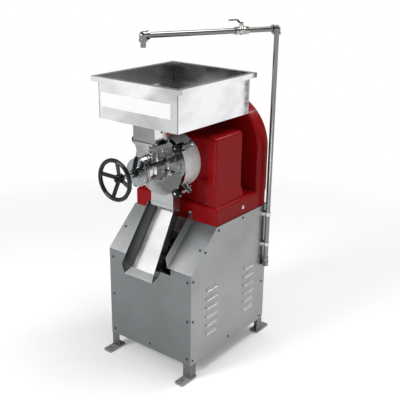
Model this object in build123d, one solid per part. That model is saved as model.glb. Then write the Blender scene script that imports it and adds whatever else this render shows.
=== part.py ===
from build123d import *

import math
import os

# Floor-standing rice wet mill, in millimetres. X runs to the right, Y to the back, Z up.
# The origin is on the floor, midway between the four floor bolts.

# Shared values
overrun = 4.0
running_play = 0.05
clear_gap = 0.4
seat_gap = 0.1

# Cabinet sheets
cabinet_width = 450.0
cabinet_depth = 544.0
cabinet_foot_z = 72.0
front_edge_z = 487.0
cabinet_top_z = 643.0
slope_top_y = -105.0
cabinet_sheet = 1.5
hem_depth = 10.0
notch_width = 236.0
notch_depth = 31.0
cover_inner_x = 100.0
cover_flange_height = 30.0
cover_flange_lean = 8.0

# Louvres in the side sheets
louvre_length = 70.0
louvre_rise = 14.0
louvre_proud = 7.0
louvre_rows = 6
louvre_pitch = 40.5
louvre_first_z = 175.0
louvre_front_y = -135.0
louvre_rear_y = 137.0

# Frame of angle bar
leg_size = 38.0
leg_wall = 4.0
rail_size = 25.0
rail_wall = 3.0
lower_rail_z = 74.0
middle_rail_z = 315.0
foot_plate_thickness = 8.0
foot_plate_inner_x = 184.0
foot_plate_outer_x = 228.0
foot_plate_inner_y = 228.0
foot_plate_outer_y = 327.0
floor_bolt_x = 207.5
floor_bolt_y = 296.0
floor_bolt_hole_radius = 6.0
mounting_plate_thickness = 4.0
header_height = 42.0
header_gap = 1.0
belt_slot_share = 2 / 3
belt_slot_play = 4.0

# Plinth
plinth_inset = 5.0
plinth_rear_y = 262.0
plinth_height = 75.0
plinth_wall = 12.0
plinth_edge_radius = 11.0
plinth_slot_half_width = 165.0

# Pedestal with the bearings
pedestal_width = 386.0
pedestal_front_y = -77.0
pedestal_depth = 187.0
pedestal_height = 285.0
pedestal_wall = 15.0
pedestal_edge_radius = 12.0
pedestal_top_radius = 18.0
rim_proud = 6.0
rim_inner_x = 152.0
rim_inner_height = 258.0
rim_inner_radius = 22.0
pad_height = 106.0
pad_inner_x = 88.0
pad_corner_radius = 58.0
flare_reach_x = 16.0
flare_reach_y = 8.0
flare_front_height = 71.0
flare_rear_height = 37.0
flare_inner_height = 10.0
bearing_boss_radius = 62.0
hopper_lug_inner_x = 34.0
hopper_lug_width = 30.0
hopper_lug_length = 110.0

# Main shaft line
shaft_height = 168.0
shaft_radius = 25.0
shaft_nose_radius = 15.0
bearing_outer_radius = 45.0
bearing_width = 20.0
bearing_groove_width = 5.0
bearing_groove_depth = 4.0
seal_radius = 38.0

# Belt guard
guard_front_gap = 78.0
guard_depth = 70.0
guard_rise = 14.0
guard_sheet = 4.0
guard_edge_radius = 10.0
guard_shaft_hole_radius = 34.0
back_cover_sheet = 2.0

# Pulleys and belts
driven_pulley_gap = 21.0
pulley_width = 42.0
pulley_to_cover = 20.0
belt_count = 2
belt_width = 12.0
belt_thickness = 8.0
belt_pitch = 15.0
groove_depth = 9.0
driven_rim_wall = 10.0
driven_web = 8.0
driven_hub_radius = 48.0
driven_hole_radius_share = 0.328125
driven_hole_circle_share = 0.484375
driven_hole_count = 6
motor_pulley_radius = 54.0

# Motor on its rails
motor_shaft_height = 90.0
motor_radius = 84.0
motor_shaft_radius = 14.0
motor_shaft_depth = 84.0
motor_front_y = -95.0
motor_length = 245.0
motor_fan_length = 42.0
motor_foot_half_width = 78.0
motor_foot_thickness = 14.0
motor_rail_front_y = -40.0
motor_rail_rear_y = 100.0
motor_rail_half_width = 22.0
motor_rail_thickness = 12.0
motor_rail_half_length = 200.0
motor_fin_count = 20
motor_fin_height = 6.0
motor_fin_width = 3.0
motor_end_rib = 14.0

# Grinding chamber
ring_radius = 115.0
ring_wall = 6.0
ring_depth = 108.0
ring_back = 10.0
post_radius = 12.0
post_reach = 157.0
post_angle = 41.0
post_back_set = 40.0
stud_circle = 140.0
stud_radius = 5.5
stud_nut_radius = 9.0
stud_nut_thickness = 8.0

# Stones
stone_radius = 100.0
stone_thickness = 18.0
stone_eye_radius = 36.0
rotor_stone_thickness = 22.0
rotor_plate_thickness = 12.5
rotor_plate_radius = 98.0
rotor_hub_radius = 38.0
rotor_hub_length = 24.0
rotor_eye_radius = 30.0
stone_gap = 1.5
stone_bevel = 3.0
rotor_rear_gap = 24.0

# Feed worm
worm_core_radius = 22.5
worm_flight_radius = 27.75
worm_flight_width = 7.0
worm_root_depth = 1.5
worm_turn_angle = 420.0
worm_end_gap = 4.0

# Front casting
flange_radius = 124.0
flange_thickness = 22.0
ear_radius = 18.0
feed_body_radius = 53.0
feed_body_length = 93.0
flare_radius = 14.0
recess_depth = 15.5
recess_radius = 104.0
neck_top_half_width = 50.0
neck_waist_half_width = 39.0
neck_front_set = 8.0
neck_waist_height = 78.0
neck_top_height = 104.0
neck_flange_thickness = 8.0
neck_flange_half_width = 56.0
neck_flange_front_proud = 6.0
throat_half_width = 29.0
throat_top_half_width = 44.0
throat_wall = 8.0
plug_boss_radius = 17.0
plug_boss_proud = 8.0
plug_x = 30.0
plug_height = 92.0
plug_radius = 12.0
plug_thickness = 4.0
plug_slot_width = 3.0
plug_slot_depth = 1.5

# Inlet duct
duct_sheet = 1.5
duct_front_set = 1.0
duct_depth = 99.0
duct_height = 61.0

# Adjusting head
sleeve_radius = 40.0
sleeve_wall = 7.0
sleeve_nose = 18.0
sleeve_end_wall = 12.0
sleeve_collar_radius = 53.0
sleeve_collar_gap = 1.5
sleeve_flange_radius = 80.0
sleeve_flange_thickness = 6.0
rib_count = 3
rib_height = 2.0
rib_width = 2.5
rib_pitch = 5.0
rib_first = 3.0
window_half_width = 27.0
disc_gap = 5.0
disc_thickness = 10.0
disc_radius = 56.0
disc_boss_radius = 24.0
disc_boss_length = 14.0
disc_recess_depth = 2.5
disc_recess_play = 1.0
tie_circle = 46.0
tie_rod_radius = 3.0
tie_angles = (-30.0, 90.0, 210.0)
spindle_radius = 10.0
collar_radius = 15.0
collar_thickness = 2.4
inner_collar_thickness = 5.0
spindle_front_proud = 4.0

# Lock lever
lever_gap = 1.0
lever_hub_radius = 16.0
lever_hub_length = 10.0
lever_reach = 76.0
lever_tip_x = 20.0
lever_width = 16.0
lever_thickness = 7.0

# Handwheel
wheel_set = 62.0
wheel_radius = 85.0
wheel_rim_radius = 8.5
wheel_dish = 20.0
wheel_hub_radius = 18.0
wheel_hub_length = 26.0
wheel_hub_round = 4.0
wheel_spokes = 4
wheel_spoke_angle = 80.0
wheel_spoke_width = 14.0
wheel_spoke_thickness = 8.0

# Clamp knobs
knob_radius = 17.5
knob_length = 24.0
knob_lobes = 6
knob_dimple_radius = 7.0
knob_dimple_share = 1.25
knob_boss_radius = 11.0
knob_boss_length = 8.0

# Outlet spout
spout_half_width = 59.0
spout_depth = 42.0
spout_length = 71.0
spout_sheet = 2.0
spout_collar_height = 18.0
spout_collar_proud = 1.5

# Chute
chute_bend_y = -297.0
chute_bend_z = 448.0
chute_angle = 57.7
chute_length = 286.0
chute_bend_half = 75.0
chute_bend_mouth_half = 87.5
chute_top_half = 62.0
chute_top_mouth_half = 69.0
chute_wall_depth = 52.0
chute_sheet = 1.5
lip_length = 43.5
lip_angle = 17.0
lip_mouth_flare = 2.0
bracket_half_width = 30.0
bracket_sheet = 3.0
bracket_top_z = 635.0
bracket_foot_z = 605.0

# Hopper
hopper_centre_x = -32.0
hopper_centre_y = -61.0
hopper_width = 409.0
hopper_depth = 466.0
hopper_height = 171.0
hopper_sheet = 1.5
rim_reach = 21.0
rim_drop = 20.0
funnel_drop = 80.0
hopper_flange = 18.0
strap_width = 30.0
strap_thickness = 3.0
strap_front_y = -38.0
strap_rear_y = 44.0

# Water pipe
pipe_radius = 10.65
pipe_wall = 2.6
pipe_port_radius = 8.0
riser_y = 254.0
riser_standoff = 4.65
riser_foot_z = 350.0
coupling_radius = 15.0
coupling_body_radius = 12.5
coupling_length = 42.0
inlet_socket_radius = 10.2
inlet_socket_depth = 16.0
arm_z = 1405.0
arm_end_x = -2.0
arm_end_y = -285.0
fitting_radius = 15.0
fitting_reach = 22.0
fitting_band_radius = 17.0
fitting_band_width = 8.0
valve_share = 0.285
valve_radius = 17.0
valve_half_length = 30.0
valve_ball_radius = 13.0
stem_radius = 5.0
stem_boss_radius = 9.0
stem_boss_height = 24.0
stem_height = 32.0
valve_lever_length = 58.0
valve_lever_width = 12.0
valve_lever_thickness = 4.0
valve_lever_rise = 12.0
nozzle_length = 22.0
clip_width = 16.0
clip_sheet = 2.0
clip_tab = 16.0
clip_heights = (456.0, 600.0)

# Places worked out from the values above
half_width = cabinet_width / 2
front_y = -cabinet_depth / 2
rear_y = cabinet_depth / 2
frame_x = half_width - cabinet_sheet
frame_front_y = front_y + cabinet_sheet
frame_rear_y = rear_y - cabinet_sheet
slope_angle = math.atan2(cabinet_top_z - front_edge_z, slope_top_y - front_y)
plate_foot_z = cabinet_top_z - mounting_plate_thickness
header_y = slope_top_y - header_height / math.tan(slope_angle)

plinth_top_z = cabinet_top_z + plinth_height
plinth_half = half_width - plinth_inset
pedestal_half = pedestal_width / 2
pedestal_rear_y = pedestal_front_y + pedestal_depth
pedestal_top_z = plinth_top_z + pedestal_height
shaft_z = plinth_top_z + shaft_height

guard_front_y = pedestal_rear_y + guard_front_gap
guard_rear_y = guard_front_y + guard_depth
arch_z = shaft_z + guard_rise
pulley_rear_y = guard_rear_y - pulley_to_cover
pulley_front_y = pulley_rear_y - pulley_width
pulley_mid_y = (pulley_front_y + pulley_rear_y) / 2
driven_pulley_radius = plinth_half - guard_sheet - driven_pulley_gap
belt_slot_half_width = driven_pulley_radius * belt_slot_share
belt_slot_front_y = pulley_front_y - belt_slot_play
belt_slot_rear_y = pulley_rear_y + belt_slot_play
motor_rail_top_z = middle_rail_z + rail_size + motor_rail_thickness
motor_z = motor_rail_top_z + motor_shaft_height
motor_rear_y = motor_front_y + motor_length

ring_front_y = pedestal_front_y - ring_depth
ring_inner_radius = ring_radius - ring_wall
post_y = ring_front_y + post_back_set
flange_front_y = ring_front_y - flange_thickness
recess_floor_y = ring_front_y - recess_depth
feed_front_y = flange_front_y - feed_body_length
rotor_plate_rear_y = pedestal_front_y - ring_back - rotor_rear_gap - rotor_hub_length
rotor_plate_front_y = rotor_plate_rear_y - rotor_plate_thickness
rotor_stone_front_y = rotor_plate_front_y - rotor_stone_thickness
front_stone_rear_y = rotor_stone_front_y - stone_gap
front_stone_front_y = front_stone_rear_y - stone_thickness
sleeve_flange_front_y = front_stone_front_y - sleeve_flange_thickness
sleeve_front_y = feed_front_y - sleeve_nose
sleeve_bore_radius = sleeve_radius - sleeve_wall
sleeve_inner_y = sleeve_front_y + sleeve_end_wall
disc_rear_y = sleeve_front_y - disc_gap
disc_front_y = disc_rear_y - disc_thickness
disc_boss_y = disc_front_y - disc_boss_length
lever_rear_y = disc_boss_y - lever_gap
lever_front_y = lever_rear_y - lever_hub_length
wheel_hub_rear_y = lever_front_y - wheel_set
wheel_hub_front_y = wheel_hub_rear_y - wheel_hub_length
wheel_rim_y = wheel_hub_front_y - wheel_dish / 2
worm_front_y = sleeve_inner_y + inner_collar_thickness + worm_end_gap

neck_top_z = shaft_z + neck_top_height
duct_foot_z = neck_top_z + neck_flange_thickness
duct_top_z = duct_foot_z + duct_height
neck_front_y = feed_front_y + neck_front_set
duct_front_y = neck_front_y + duct_front_set
duct_rear_y = duct_front_y + duct_depth
hopper_top_z = duct_top_z + hopper_height
hopper_x = (hopper_centre_x - hopper_width / 2, hopper_centre_x + hopper_width / 2)
hopper_y = (hopper_centre_y - hopper_depth / 2, hopper_centre_y + hopper_depth / 2)
spout_top_z = shaft_z - ring_radius
spout_foot_z = spout_top_z - spout_length
spout_rear_y = ring_front_y + spout_depth
riser_x = half_width + riser_standoff + pipe_radius
arm_start = Vector(riser_x, riser_y, arm_z)
arm_end = Vector(arm_end_x, arm_end_y, arm_z)
arm_along = (arm_end - arm_start).normalized()
valve_centre = arm_start + (arm_end - arm_start) * valve_share

shaft_axis = Axis((0, 0, shaft_z), (0, -1, 0))


def block(x_range, y_range, z_range):
    """Rectangular block between two planes along each axis."""
    ranges = (x_range, y_range, z_range)
    middle = [(low + high) / 2 for low, high in ranges]
    size = [high - low for low, high in ranges]
    return Pos(*middle) * Box(*size)


def rod(start, end, radius):
    """Round bar from one point to another."""
    path = Vector(*end) - Vector(*start)
    plane = Plane(origin=start, z_dir=path)
    return plane * Cylinder(radius, path.length, align=(Align.CENTER, Align.CENTER, Align.MIN))


def rod_y(x, z, y_range, radius):
    """Round bar along Y."""
    return rod((x, y_range[0], z), (x, y_range[1], z), radius)


def polar(radius, angle):
    """X and Z of a point about the shaft line, the angle running from +X to +Z."""
    turn = math.radians(angle)
    return radius * math.cos(turn), shaft_z + radius * math.sin(turn)


def prism_x(outline, x_range):
    """Outline of (y, z) points carried along X."""
    wire = Polyline(*[(x_range[0], y, z) for y, z in outline], close=True)
    return extrude(make_face(wire), x_range[1] - x_range[0], dir=(1, 0, 0))


def prism_y(outline, y_range):
    """Outline of (x, z) points carried along Y."""
    wire = Polyline(*[(x, y_range[0], z) for x, z in outline], close=True)
    return extrude(make_face(wire), y_range[1] - y_range[0], dir=(0, 1, 0))


def turned(outline, z=shaft_z, x=0):
    """Outline of (radius, y) points revolved about a line along Y."""
    wire = Polyline(*[(x + radius, y, z) for radius, y in outline], close=True)
    return revolve(make_face(wire), Axis((x, 0, z), (0, 1, 0)))


def ring_y(outer, inner, y_range, z=shaft_z, x=0):
    """Plain ring about a line along Y."""
    low, high = y_range
    return turned([(inner, low), (outer, low), (outer, high), (inner, high)], z, x)


def hex_y(x, z, y_range, radius, bore):
    """Hexagonal nut about a line along Y."""
    plane = Plane(origin=(x, y_range[0], z), x_dir=(1, 0, 0), z_dir=(0, 1, 0))
    nut = extrude(plane * RegularPolygon(radius, 6), y_range[1] - y_range[0])
    return nut - rod_y(x, z, (y_range[0] - overrun, y_range[1] + overrun), bore)


def turn_about_shaft(shape, angle):
    """Copy turned about the shaft line, from +X towards +Z."""
    return shape.rotate(shaft_axis, angle)


def mirrored_x(shape):
    """Copy mirrored from the right side to the left."""
    return mirror(shape, about=Plane.YZ)


def slope_z(y, depth):
    """Height of the sloping front at y, on the plane sunk by depth."""
    rise = (y - front_y) * math.tan(slope_angle)
    return front_edge_z + rise - depth / math.cos(slope_angle)


def slope_strip(y_range, outer_depth, inner_depth):
    """Outline of a strip that lies along the sloping front."""
    low, high = y_range
    return [
        (low, slope_z(low, outer_depth)),
        (high, slope_z(high, outer_depth)),
        (high, slope_z(high, inner_depth)),
        (low, slope_z(low, inner_depth)),
    ]


def make_leg(rear):
    """Right-hand corner leg of angle bar, cut to the slope at the front."""
    top = plate_foot_z if rear else cabinet_top_z
    corner_y = frame_rear_y if rear else frame_front_y
    inward = -1 if rear else 1
    y_far = sorted((corner_y, corner_y + inward * leg_size))
    y_near = sorted((corner_y, corner_y + inward * leg_wall))
    height = (foot_plate_thickness, top)
    leg = block((frame_x - leg_wall, frame_x), y_far, height)
    leg += block((frame_x - leg_size, frame_x), y_near, height)
    if not rear:
        depth = cabinet_sheet + rail_wall
        y_range = (front_y, slope_top_y)
        above = [(y, slope_z(y, depth)) for y in y_range]
        above += [(slope_top_y, cabinet_top_z + overrun), (front_y, cabinet_top_z + overrun)]
        leg -= prism_x(above, (0, half_width))
    return leg


def make_foot_plates():
    """Four flat plates under the legs, each with its floor bolt hole."""
    plates = []
    for side_x in (-1, 1):
        for side_y in (-1, 1):
            x_range = sorted((side_x * foot_plate_inner_x, side_x * foot_plate_outer_x))
            y_range = sorted((side_y * foot_plate_inner_y, side_y * foot_plate_outer_y))
            plate = block(x_range, y_range, (0, foot_plate_thickness))
            plate = fillet(plate.edges().filter_by(Axis.Z), foot_plate_thickness)
            hole_x, hole_y = side_x * floor_bolt_x, side_y * floor_bolt_y
            hole_top = foot_plate_thickness + overrun
            plates.append(plate - rod((hole_x, hole_y, -overrun), (hole_x, hole_y, hole_top),
                                      floor_bolt_hole_radius))
    return plates


def rail_ring(low_z, y_front, y_rear):
    """Ring of angle bar with its upright flange against the sheets."""
    top_z = low_z + rail_size
    cut_top = top_z + overrun
    ring = block((-frame_x, frame_x), (y_front, y_rear), (low_z, top_z))
    inner_x = frame_x - rail_wall
    ring -= block((-inner_x, inner_x), (y_front + rail_wall, y_rear - rail_wall),
                  (low_z + rail_wall, cut_top))
    hole_x = frame_x - rail_size
    ring -= block((-hole_x, hole_x), (y_front + rail_size, y_rear - rail_size),
                  (low_z - overrun, cut_top))
    return ring


def make_frame_rails():
    """Rings between the legs, the motor bars and the bars under the slope."""
    rails = rail_ring(lower_rail_z, frame_front_y, frame_rear_y)
    middle = rail_ring(middle_rail_z, frame_front_y, frame_rear_y)
    bar_x = frame_x - rail_wall
    middle_top_z = middle_rail_z + rail_size
    for bar_y in (motor_rail_front_y, motor_rail_rear_y):
        bar_y_range = (bar_y - rail_size / 2, bar_y + rail_size / 2)
        web_range = (bar_y_range[0], bar_y_range[0] + rail_wall)
        middle += block((-bar_x, bar_x), web_range, (middle_rail_z + rail_wall, middle_top_z))
        middle += block((-bar_x, bar_x), bar_y_range, (middle_top_z - rail_wall, middle_top_z))
    upper = rail_ring(plate_foot_z - rail_size, slope_top_y, frame_rear_y)
    strip = slope_strip((front_y + hem_depth, slope_top_y), cabinet_sheet,
                        cabinet_sheet + rail_wall)
    slope_bar = prism_x(strip, (frame_x - rail_size, frame_x))
    upper = upper + slope_bar + mirrored_x(slope_bar)
    rails = rails + middle + upper
    for side_x in (-1, 1):
        x_range = sorted((side_x * (frame_x - leg_size), side_x * frame_x))
        rails -= block(x_range, (frame_rear_y - leg_size, frame_rear_y), (0, cabinet_top_z))
        rails -= block(x_range, (frame_front_y, frame_front_y + leg_size),
                       (0, middle_top_z + overrun))
    return rails


def make_mounting_plate():
    """Top plate of the cabinet, with the belt slot and the header turned down the slope."""
    plate = block((-frame_x, frame_x), (slope_top_y, frame_rear_y), (plate_foot_z, cabinet_top_z))
    plate -= block((-belt_slot_half_width, belt_slot_half_width),
                   (belt_slot_front_y, belt_slot_rear_y),
                   (plate_foot_z - overrun, cabinet_top_z + overrun))
    header_half = cover_inner_x - header_gap
    header = slope_strip((header_y, slope_top_y), 0, mounting_plate_thickness)
    return plate + prism_x(header, (-header_half, header_half))


def make_front_panel():
    """Front sheet with the notch for the chute and a hem along its top edge."""
    top_z = slope_z(front_y, cabinet_sheet)
    notch_half = notch_width / 2
    panel = block((-half_width, half_width), (front_y, frame_front_y), (cabinet_foot_z, top_z))
    panel -= block((-notch_half, notch_half), (front_y - overrun, frame_front_y + overrun),
                   (front_edge_z - notch_depth, top_z + overrun))
    hem = block((notch_half, frame_x - leg_size), (front_y, front_y + hem_depth),
                (top_z - cabinet_sheet, top_z))
    return panel + hem + mirrored_x(hem)


def make_side_panel():
    """Right side sheet with two columns of pressed louvres, open at their lower edges."""
    outline = [
        (frame_front_y, cabinet_foot_z),
        (frame_rear_y, cabinet_foot_z),
        (frame_rear_y, cabinet_top_z),
        (slope_top_y, cabinet_top_z),
        (slope_top_y, slope_z(slope_top_y, cabinet_sheet)),
        (frame_front_y, slope_z(frame_front_y, cabinet_sheet)),
    ]
    panel = prism_x(outline, (frame_x, half_width))
    steepness = louvre_rise / louvre_proud
    inset = cabinet_sheet * math.hypot(1, 1 / steepness)
    inner_tip_x = half_width + louvre_proud - inset
    inner_rise = (inner_tip_x - frame_x) * steepness
    for middle_y in (louvre_front_y, louvre_rear_y):
        outer_range = (middle_y - louvre_length / 2, middle_y + louvre_length / 2)
        inner_range = (outer_range[0] + cabinet_sheet, outer_range[1] - cabinet_sheet)
        for row in range(louvre_rows):
            low_z = louvre_first_z + row * louvre_pitch
            hood = [(half_width, low_z), (half_width + louvre_proud, low_z),
                    (half_width, low_z + louvre_rise)]
            mouth = [(frame_x, low_z), (inner_tip_x, low_z), (frame_x, low_z + inner_rise)]
            panel = panel + prism_y(hood, outer_range) - prism_y(mouth, inner_range)
    return panel


def make_slope_cover():
    """Right cover on the slope, with an upstanding flange that leans over the chute."""
    down = (0, -math.cos(slope_angle), -math.sin(slope_angle))
    plane = Plane(origin=(0, slope_top_y, cabinet_top_z), x_dir=(1, 0, 0), z_dir=down)
    outline = [
        (half_width, -cabinet_sheet),
        (half_width, 0),
        (cover_inner_x + cabinet_sheet, 0),
        (cover_inner_x + cabinet_sheet - cover_flange_lean, cover_flange_height),
        (cover_inner_x - cover_flange_lean, cover_flange_height),
        (cover_inner_x, 0),
        (cover_inner_x, -cabinet_sheet),
    ]
    run = math.hypot(cabinet_top_z - front_edge_z, slope_top_y - front_y)
    ends = cover_flange_height + overrun
    profile = plane.offset(-ends) * make_face(Polyline(*outline, close=True))
    cover = extrude(profile, run + ends + ends)
    return cover & block((0, cabinet_width), (front_y, slope_top_y),
                         (front_edge_z - cover_flange_height, cabinet_top_z + cabinet_width))


def make_plinth():
    """Hollow cast plinth with rounded edges and the belt slot in its top."""
    plinth = block((-plinth_half, plinth_half), (slope_top_y, plinth_rear_y),
                   (cabinet_top_z, plinth_top_z))
    upright = plinth.edges().filter_by(Axis.Z)
    plinth = fillet(upright, plinth_edge_radius)
    plinth = fillet(plinth.faces().sort_by(Axis.Z)[-1].edges(), plinth_edge_radius)
    plinth -= block((-plinth_half + plinth_wall, plinth_half - plinth_wall),
                    (slope_top_y + plinth_wall, plinth_rear_y - plinth_wall),
                    (cabinet_top_z - overrun, plinth_top_z - plinth_wall))
    return plinth - block((-plinth_slot_half_width, plinth_slot_half_width),
                          (belt_slot_front_y, belt_slot_rear_y),
                          (plinth_top_z - plinth_wall - overrun, plinth_top_z + overrun))


def right_pad(y_range):
    """Right foot of the pedestal's front rim, rounded over its inner shoulder."""
    pad_top_z = plinth_top_z + pad_height
    pad = block((pad_inner_x, pedestal_half), y_range, (plinth_top_z, pad_top_z))
    shoulder = pad.edges().filter_by(Axis.Y).sort_by(Axis.Z)[-2:].sort_by(Axis.X)[0]
    return fillet(shoulder, pad_corner_radius)


def right_flare():
    """Sloping skirt under the right pad and side, cut by three planes."""
    rim_y = pedestal_front_y - rim_proud
    top_z = plinth_top_z + flare_front_height
    reach = (pedestal_half + flare_reach_x, rim_y - flare_reach_y)
    flare = block((pad_inner_x, reach[0]), (reach[1], pedestal_rear_y), (plinth_top_z, top_z))
    front_corner = Vector(pedestal_half, rim_y, top_z)
    rear_corner = Vector(pedestal_half, pedestal_rear_y, plinth_top_z + flare_rear_height)
    inner_corner = Vector(pad_inner_x, rim_y, plinth_top_z + flare_inner_height)
    foot_corner = Vector(reach[0], reach[1], plinth_top_z)
    side = (rear_corner - foot_corner).cross(front_corner - foot_corner)
    front = (front_corner - foot_corner).cross(inner_corner - foot_corner)
    top = Vector(1, 0, 0).cross(rear_corner - front_corner)
    for outward in (side, front, top):
        cut = Plane(origin=front_corner, z_dir=outward)
        flare = split(flare, bisect_by=cut, keep=Keep.BOTTOM)
    return flare


def make_pedestal():
    """Cast bearing housing: rounded box with a raised front rim, flared skirt and hopper lugs."""
    rim_y = pedestal_front_y - rim_proud
    body = block((-pedestal_half, pedestal_half), (rim_y, pedestal_rear_y),
                 (plinth_top_z, pedestal_top_z))
    body = fillet(body.edges().filter_by(Axis.Z), pedestal_edge_radius)
    body = fillet(body.faces().sort_by(Axis.Z)[-1].edges(), pedestal_top_radius)
    recess_y = (rim_y - overrun, pedestal_front_y)
    recess = block((-rim_inner_x, rim_inner_x), recess_y,
                   (plinth_top_z - overrun, plinth_top_z + rim_inner_height))
    recess_top = recess.edges().filter_by(Axis.Y).sort_by(Axis.Z)[-2:]
    pad = right_pad(recess_y)
    recess = fillet(recess_top, rim_inner_radius) - pad - mirrored_x(pad)
    flare = right_flare()
    body = body - recess + flare + mirrored_x(flare)
    cavity = block((-pedestal_half + pedestal_wall, pedestal_half - pedestal_wall),
                   (pedestal_front_y + pedestal_wall, pedestal_rear_y - pedestal_wall),
                   (plinth_top_z - overrun, pedestal_top_z - pedestal_wall))
    boss = rod_y(0, shaft_z, (pedestal_front_y, pedestal_rear_y), bearing_boss_radius)
    body = body - cavity + boss
    lug_foot_z = pedestal_top_z - pedestal_wall
    lug_y = (-hopper_lug_length / 2, hopper_lug_length / 2)
    lug = block((hopper_lug_inner_x, hopper_lug_inner_x + hopper_lug_width), lug_y,
                (lug_foot_z, duct_top_z))
    body = body + lug + mirrored_x(lug)
    body -= rod_y(0, shaft_z, recess_y, ring_radius + seat_gap)
    through = (pedestal_front_y - overrun, pedestal_rear_y + overrun)
    body -= rod_y(0, shaft_z, through, shaft_radius + clear_gap + clear_gap)
    body -= rod_y(0, shaft_z, (through[0], pedestal_front_y + bearing_width),
                  bearing_outer_radius)
    return body - rod_y(0, shaft_z, (pedestal_rear_y - bearing_width, through[1]),
                        bearing_outer_radius)


def make_bearing(front_face_y):
    """Ball bearing, its rings and balls drawn as one ring with a groove on each face."""
    y_range = (front_face_y, front_face_y + bearing_width)
    bore = shaft_radius + running_play
    middle = (bore + bearing_outer_radius) / 2
    groove = bearing_groove_width / 2
    depth = bearing_groove_depth
    bearing = ring_y(bearing_outer_radius, bore, y_range)
    bearing -= ring_y(middle + groove, middle - groove, (y_range[0] - overrun, y_range[0] + depth))
    return bearing - ring_y(middle + groove, middle - groove,
                            (y_range[1] - depth, y_range[1] + overrun))


def arch_outline(radius, foot_z):
    """Closed outline of an arch above the shaft line, in the XZ plane at y of zero."""
    side = arch_z
    return make_face([
        Line((-radius, 0, foot_z), (radius, 0, foot_z)),
        Line((radius, 0, foot_z), (radius, 0, side)),
        ThreePointArc((radius, 0, side), (0, 0, side + radius), (-radius, 0, side)),
        Line((-radius, 0, side), (-radius, 0, foot_z)),
    ])


def arch(radius, foot_z, y_range):
    """Arch-shaped block between two planes along Y."""
    return Pos(0, y_range[0], 0) * extrude(arch_outline(radius, foot_z),
                                           y_range[1] - y_range[0], dir=(0, 1, 0))


def make_belt_guard():
    """Arched belt guard, open at the back and at its foot, with a rounded front edge."""
    foot_z = plinth_top_z - plinth_edge_radius
    guard = arch(plinth_half, foot_z, (guard_front_y, guard_rear_y))
    front_edges = [
        edge for edge in guard.faces().sort_by(Axis.Y)[0].edges()
        if edge.center().Z > foot_z + seat_gap
    ]
    guard = fillet(front_edges, guard_edge_radius)
    inner_radius = plinth_half - guard_sheet
    guard -= arch(inner_radius, foot_z - overrun, (guard_front_y + guard_sheet,
                                                   guard_rear_y + overrun))
    guard -= rod_y(0, shaft_z, (guard_front_y - overrun, guard_rear_y), guard_shaft_hole_radius)
    solid_plinth = make_plinth() + block(
        (-plinth_half + plinth_wall, plinth_half - plinth_wall),
        (slope_top_y + plinth_wall, plinth_rear_y - plinth_wall), (cabinet_top_z, plinth_top_z))
    return guard - solid_plinth


def make_back_cover():
    """Flat back cover of the belt guard."""
    return arch(plinth_half, plinth_top_z, (guard_rear_y, guard_rear_y + back_cover_sheet))


def groove_cuts(radius):
    """Rings cut into a pulley rim for the belts."""
    half = belt_width / 2 + clear_gap
    cuts = []
    for index in range(belt_count):
        middle = pulley_mid_y + (index - (belt_count - 1) / 2) * belt_pitch
        cuts.append((middle - half, middle + half, radius - groove_depth, radius))
    return cuts


def make_pulley_rim(outline_radius, inner_radius, z):
    """Grooved rim, turned from one outline."""
    outline = [(inner_radius, pulley_front_y), (outline_radius, pulley_front_y)]
    for low, high, floor, top in groove_cuts(outline_radius):
        outline += [(top, low), (floor, low), (floor, high), (top, high)]
    outline += [(outline_radius, pulley_rear_y), (inner_radius, pulley_rear_y)]
    return turned(outline, z)


def make_driven_pulley():
    """Large pulley: grooved rim, pierced web and hub."""
    rim_inner = driven_pulley_radius - groove_depth - driven_rim_wall
    bore = shaft_radius + running_play
    pulley = make_pulley_rim(driven_pulley_radius, rim_inner, shaft_z)
    web = ring_y(rim_inner, driven_hub_radius,
                 (pulley_mid_y - driven_web / 2, pulley_mid_y + driven_web / 2))
    hub = ring_y(driven_hub_radius, bore, (pulley_front_y, pulley_rear_y))
    pulley = pulley + web + hub
    web_reach = rim_inner - driven_hub_radius
    hole_circle = driven_hub_radius + web_reach * driven_hole_circle_share
    hole_x, hole_z = polar(hole_circle, 0)
    hole_radius = web_reach * driven_hole_radius_share
    hole = rod_y(hole_x, hole_z, (pulley_front_y, pulley_rear_y), hole_radius)
    for index in range(driven_hole_count):
        pulley -= turn_about_shaft(hole, index * 360 / driven_hole_count)
    return pulley


def make_motor_pulley():
    """Small grooved pulley on the motor shaft."""
    return make_pulley_rim(motor_pulley_radius, motor_shaft_radius + running_play, motor_z)


def belt_loop(offset):
    """Face inside the belt run, grown by an offset, at y of zero."""
    large = driven_pulley_radius - groove_depth + clear_gap + offset
    small = motor_pulley_radius - groove_depth + clear_gap + offset
    rise = shaft_z - motor_z
    tilt = math.asin((large - small) / rise)
    small_x, small_z = small * math.cos(tilt), motor_z - small * math.sin(tilt)
    large_x, large_z = large * math.cos(tilt), shaft_z - large * math.sin(tilt)
    return make_face([
        ThreePointArc((-small_x, 0, small_z), (0, 0, motor_z - small), (small_x, 0, small_z)),
        Line((small_x, 0, small_z), (large_x, 0, large_z)),
        ThreePointArc((large_x, 0, large_z), (0, 0, shaft_z + large), (-large_x, 0, large_z)),
        Line((-large_x, 0, large_z), (-small_x, 0, small_z)),
    ])


def make_drive_belts():
    """Belts that run from the motor pulley to the driven pulley."""
    belts = []
    for index in range(belt_count):
        middle = pulley_mid_y + (index - (belt_count - 1) / 2) * belt_pitch
        start = middle - belt_width / 2
        outer = extrude(belt_loop(belt_thickness), belt_width, dir=(0, 1, 0))
        inner = extrude(belt_loop(0), belt_width, dir=(0, 1, 0))
        belts.append(Pos(0, start, 0) * (outer - inner))
    return belts


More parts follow.
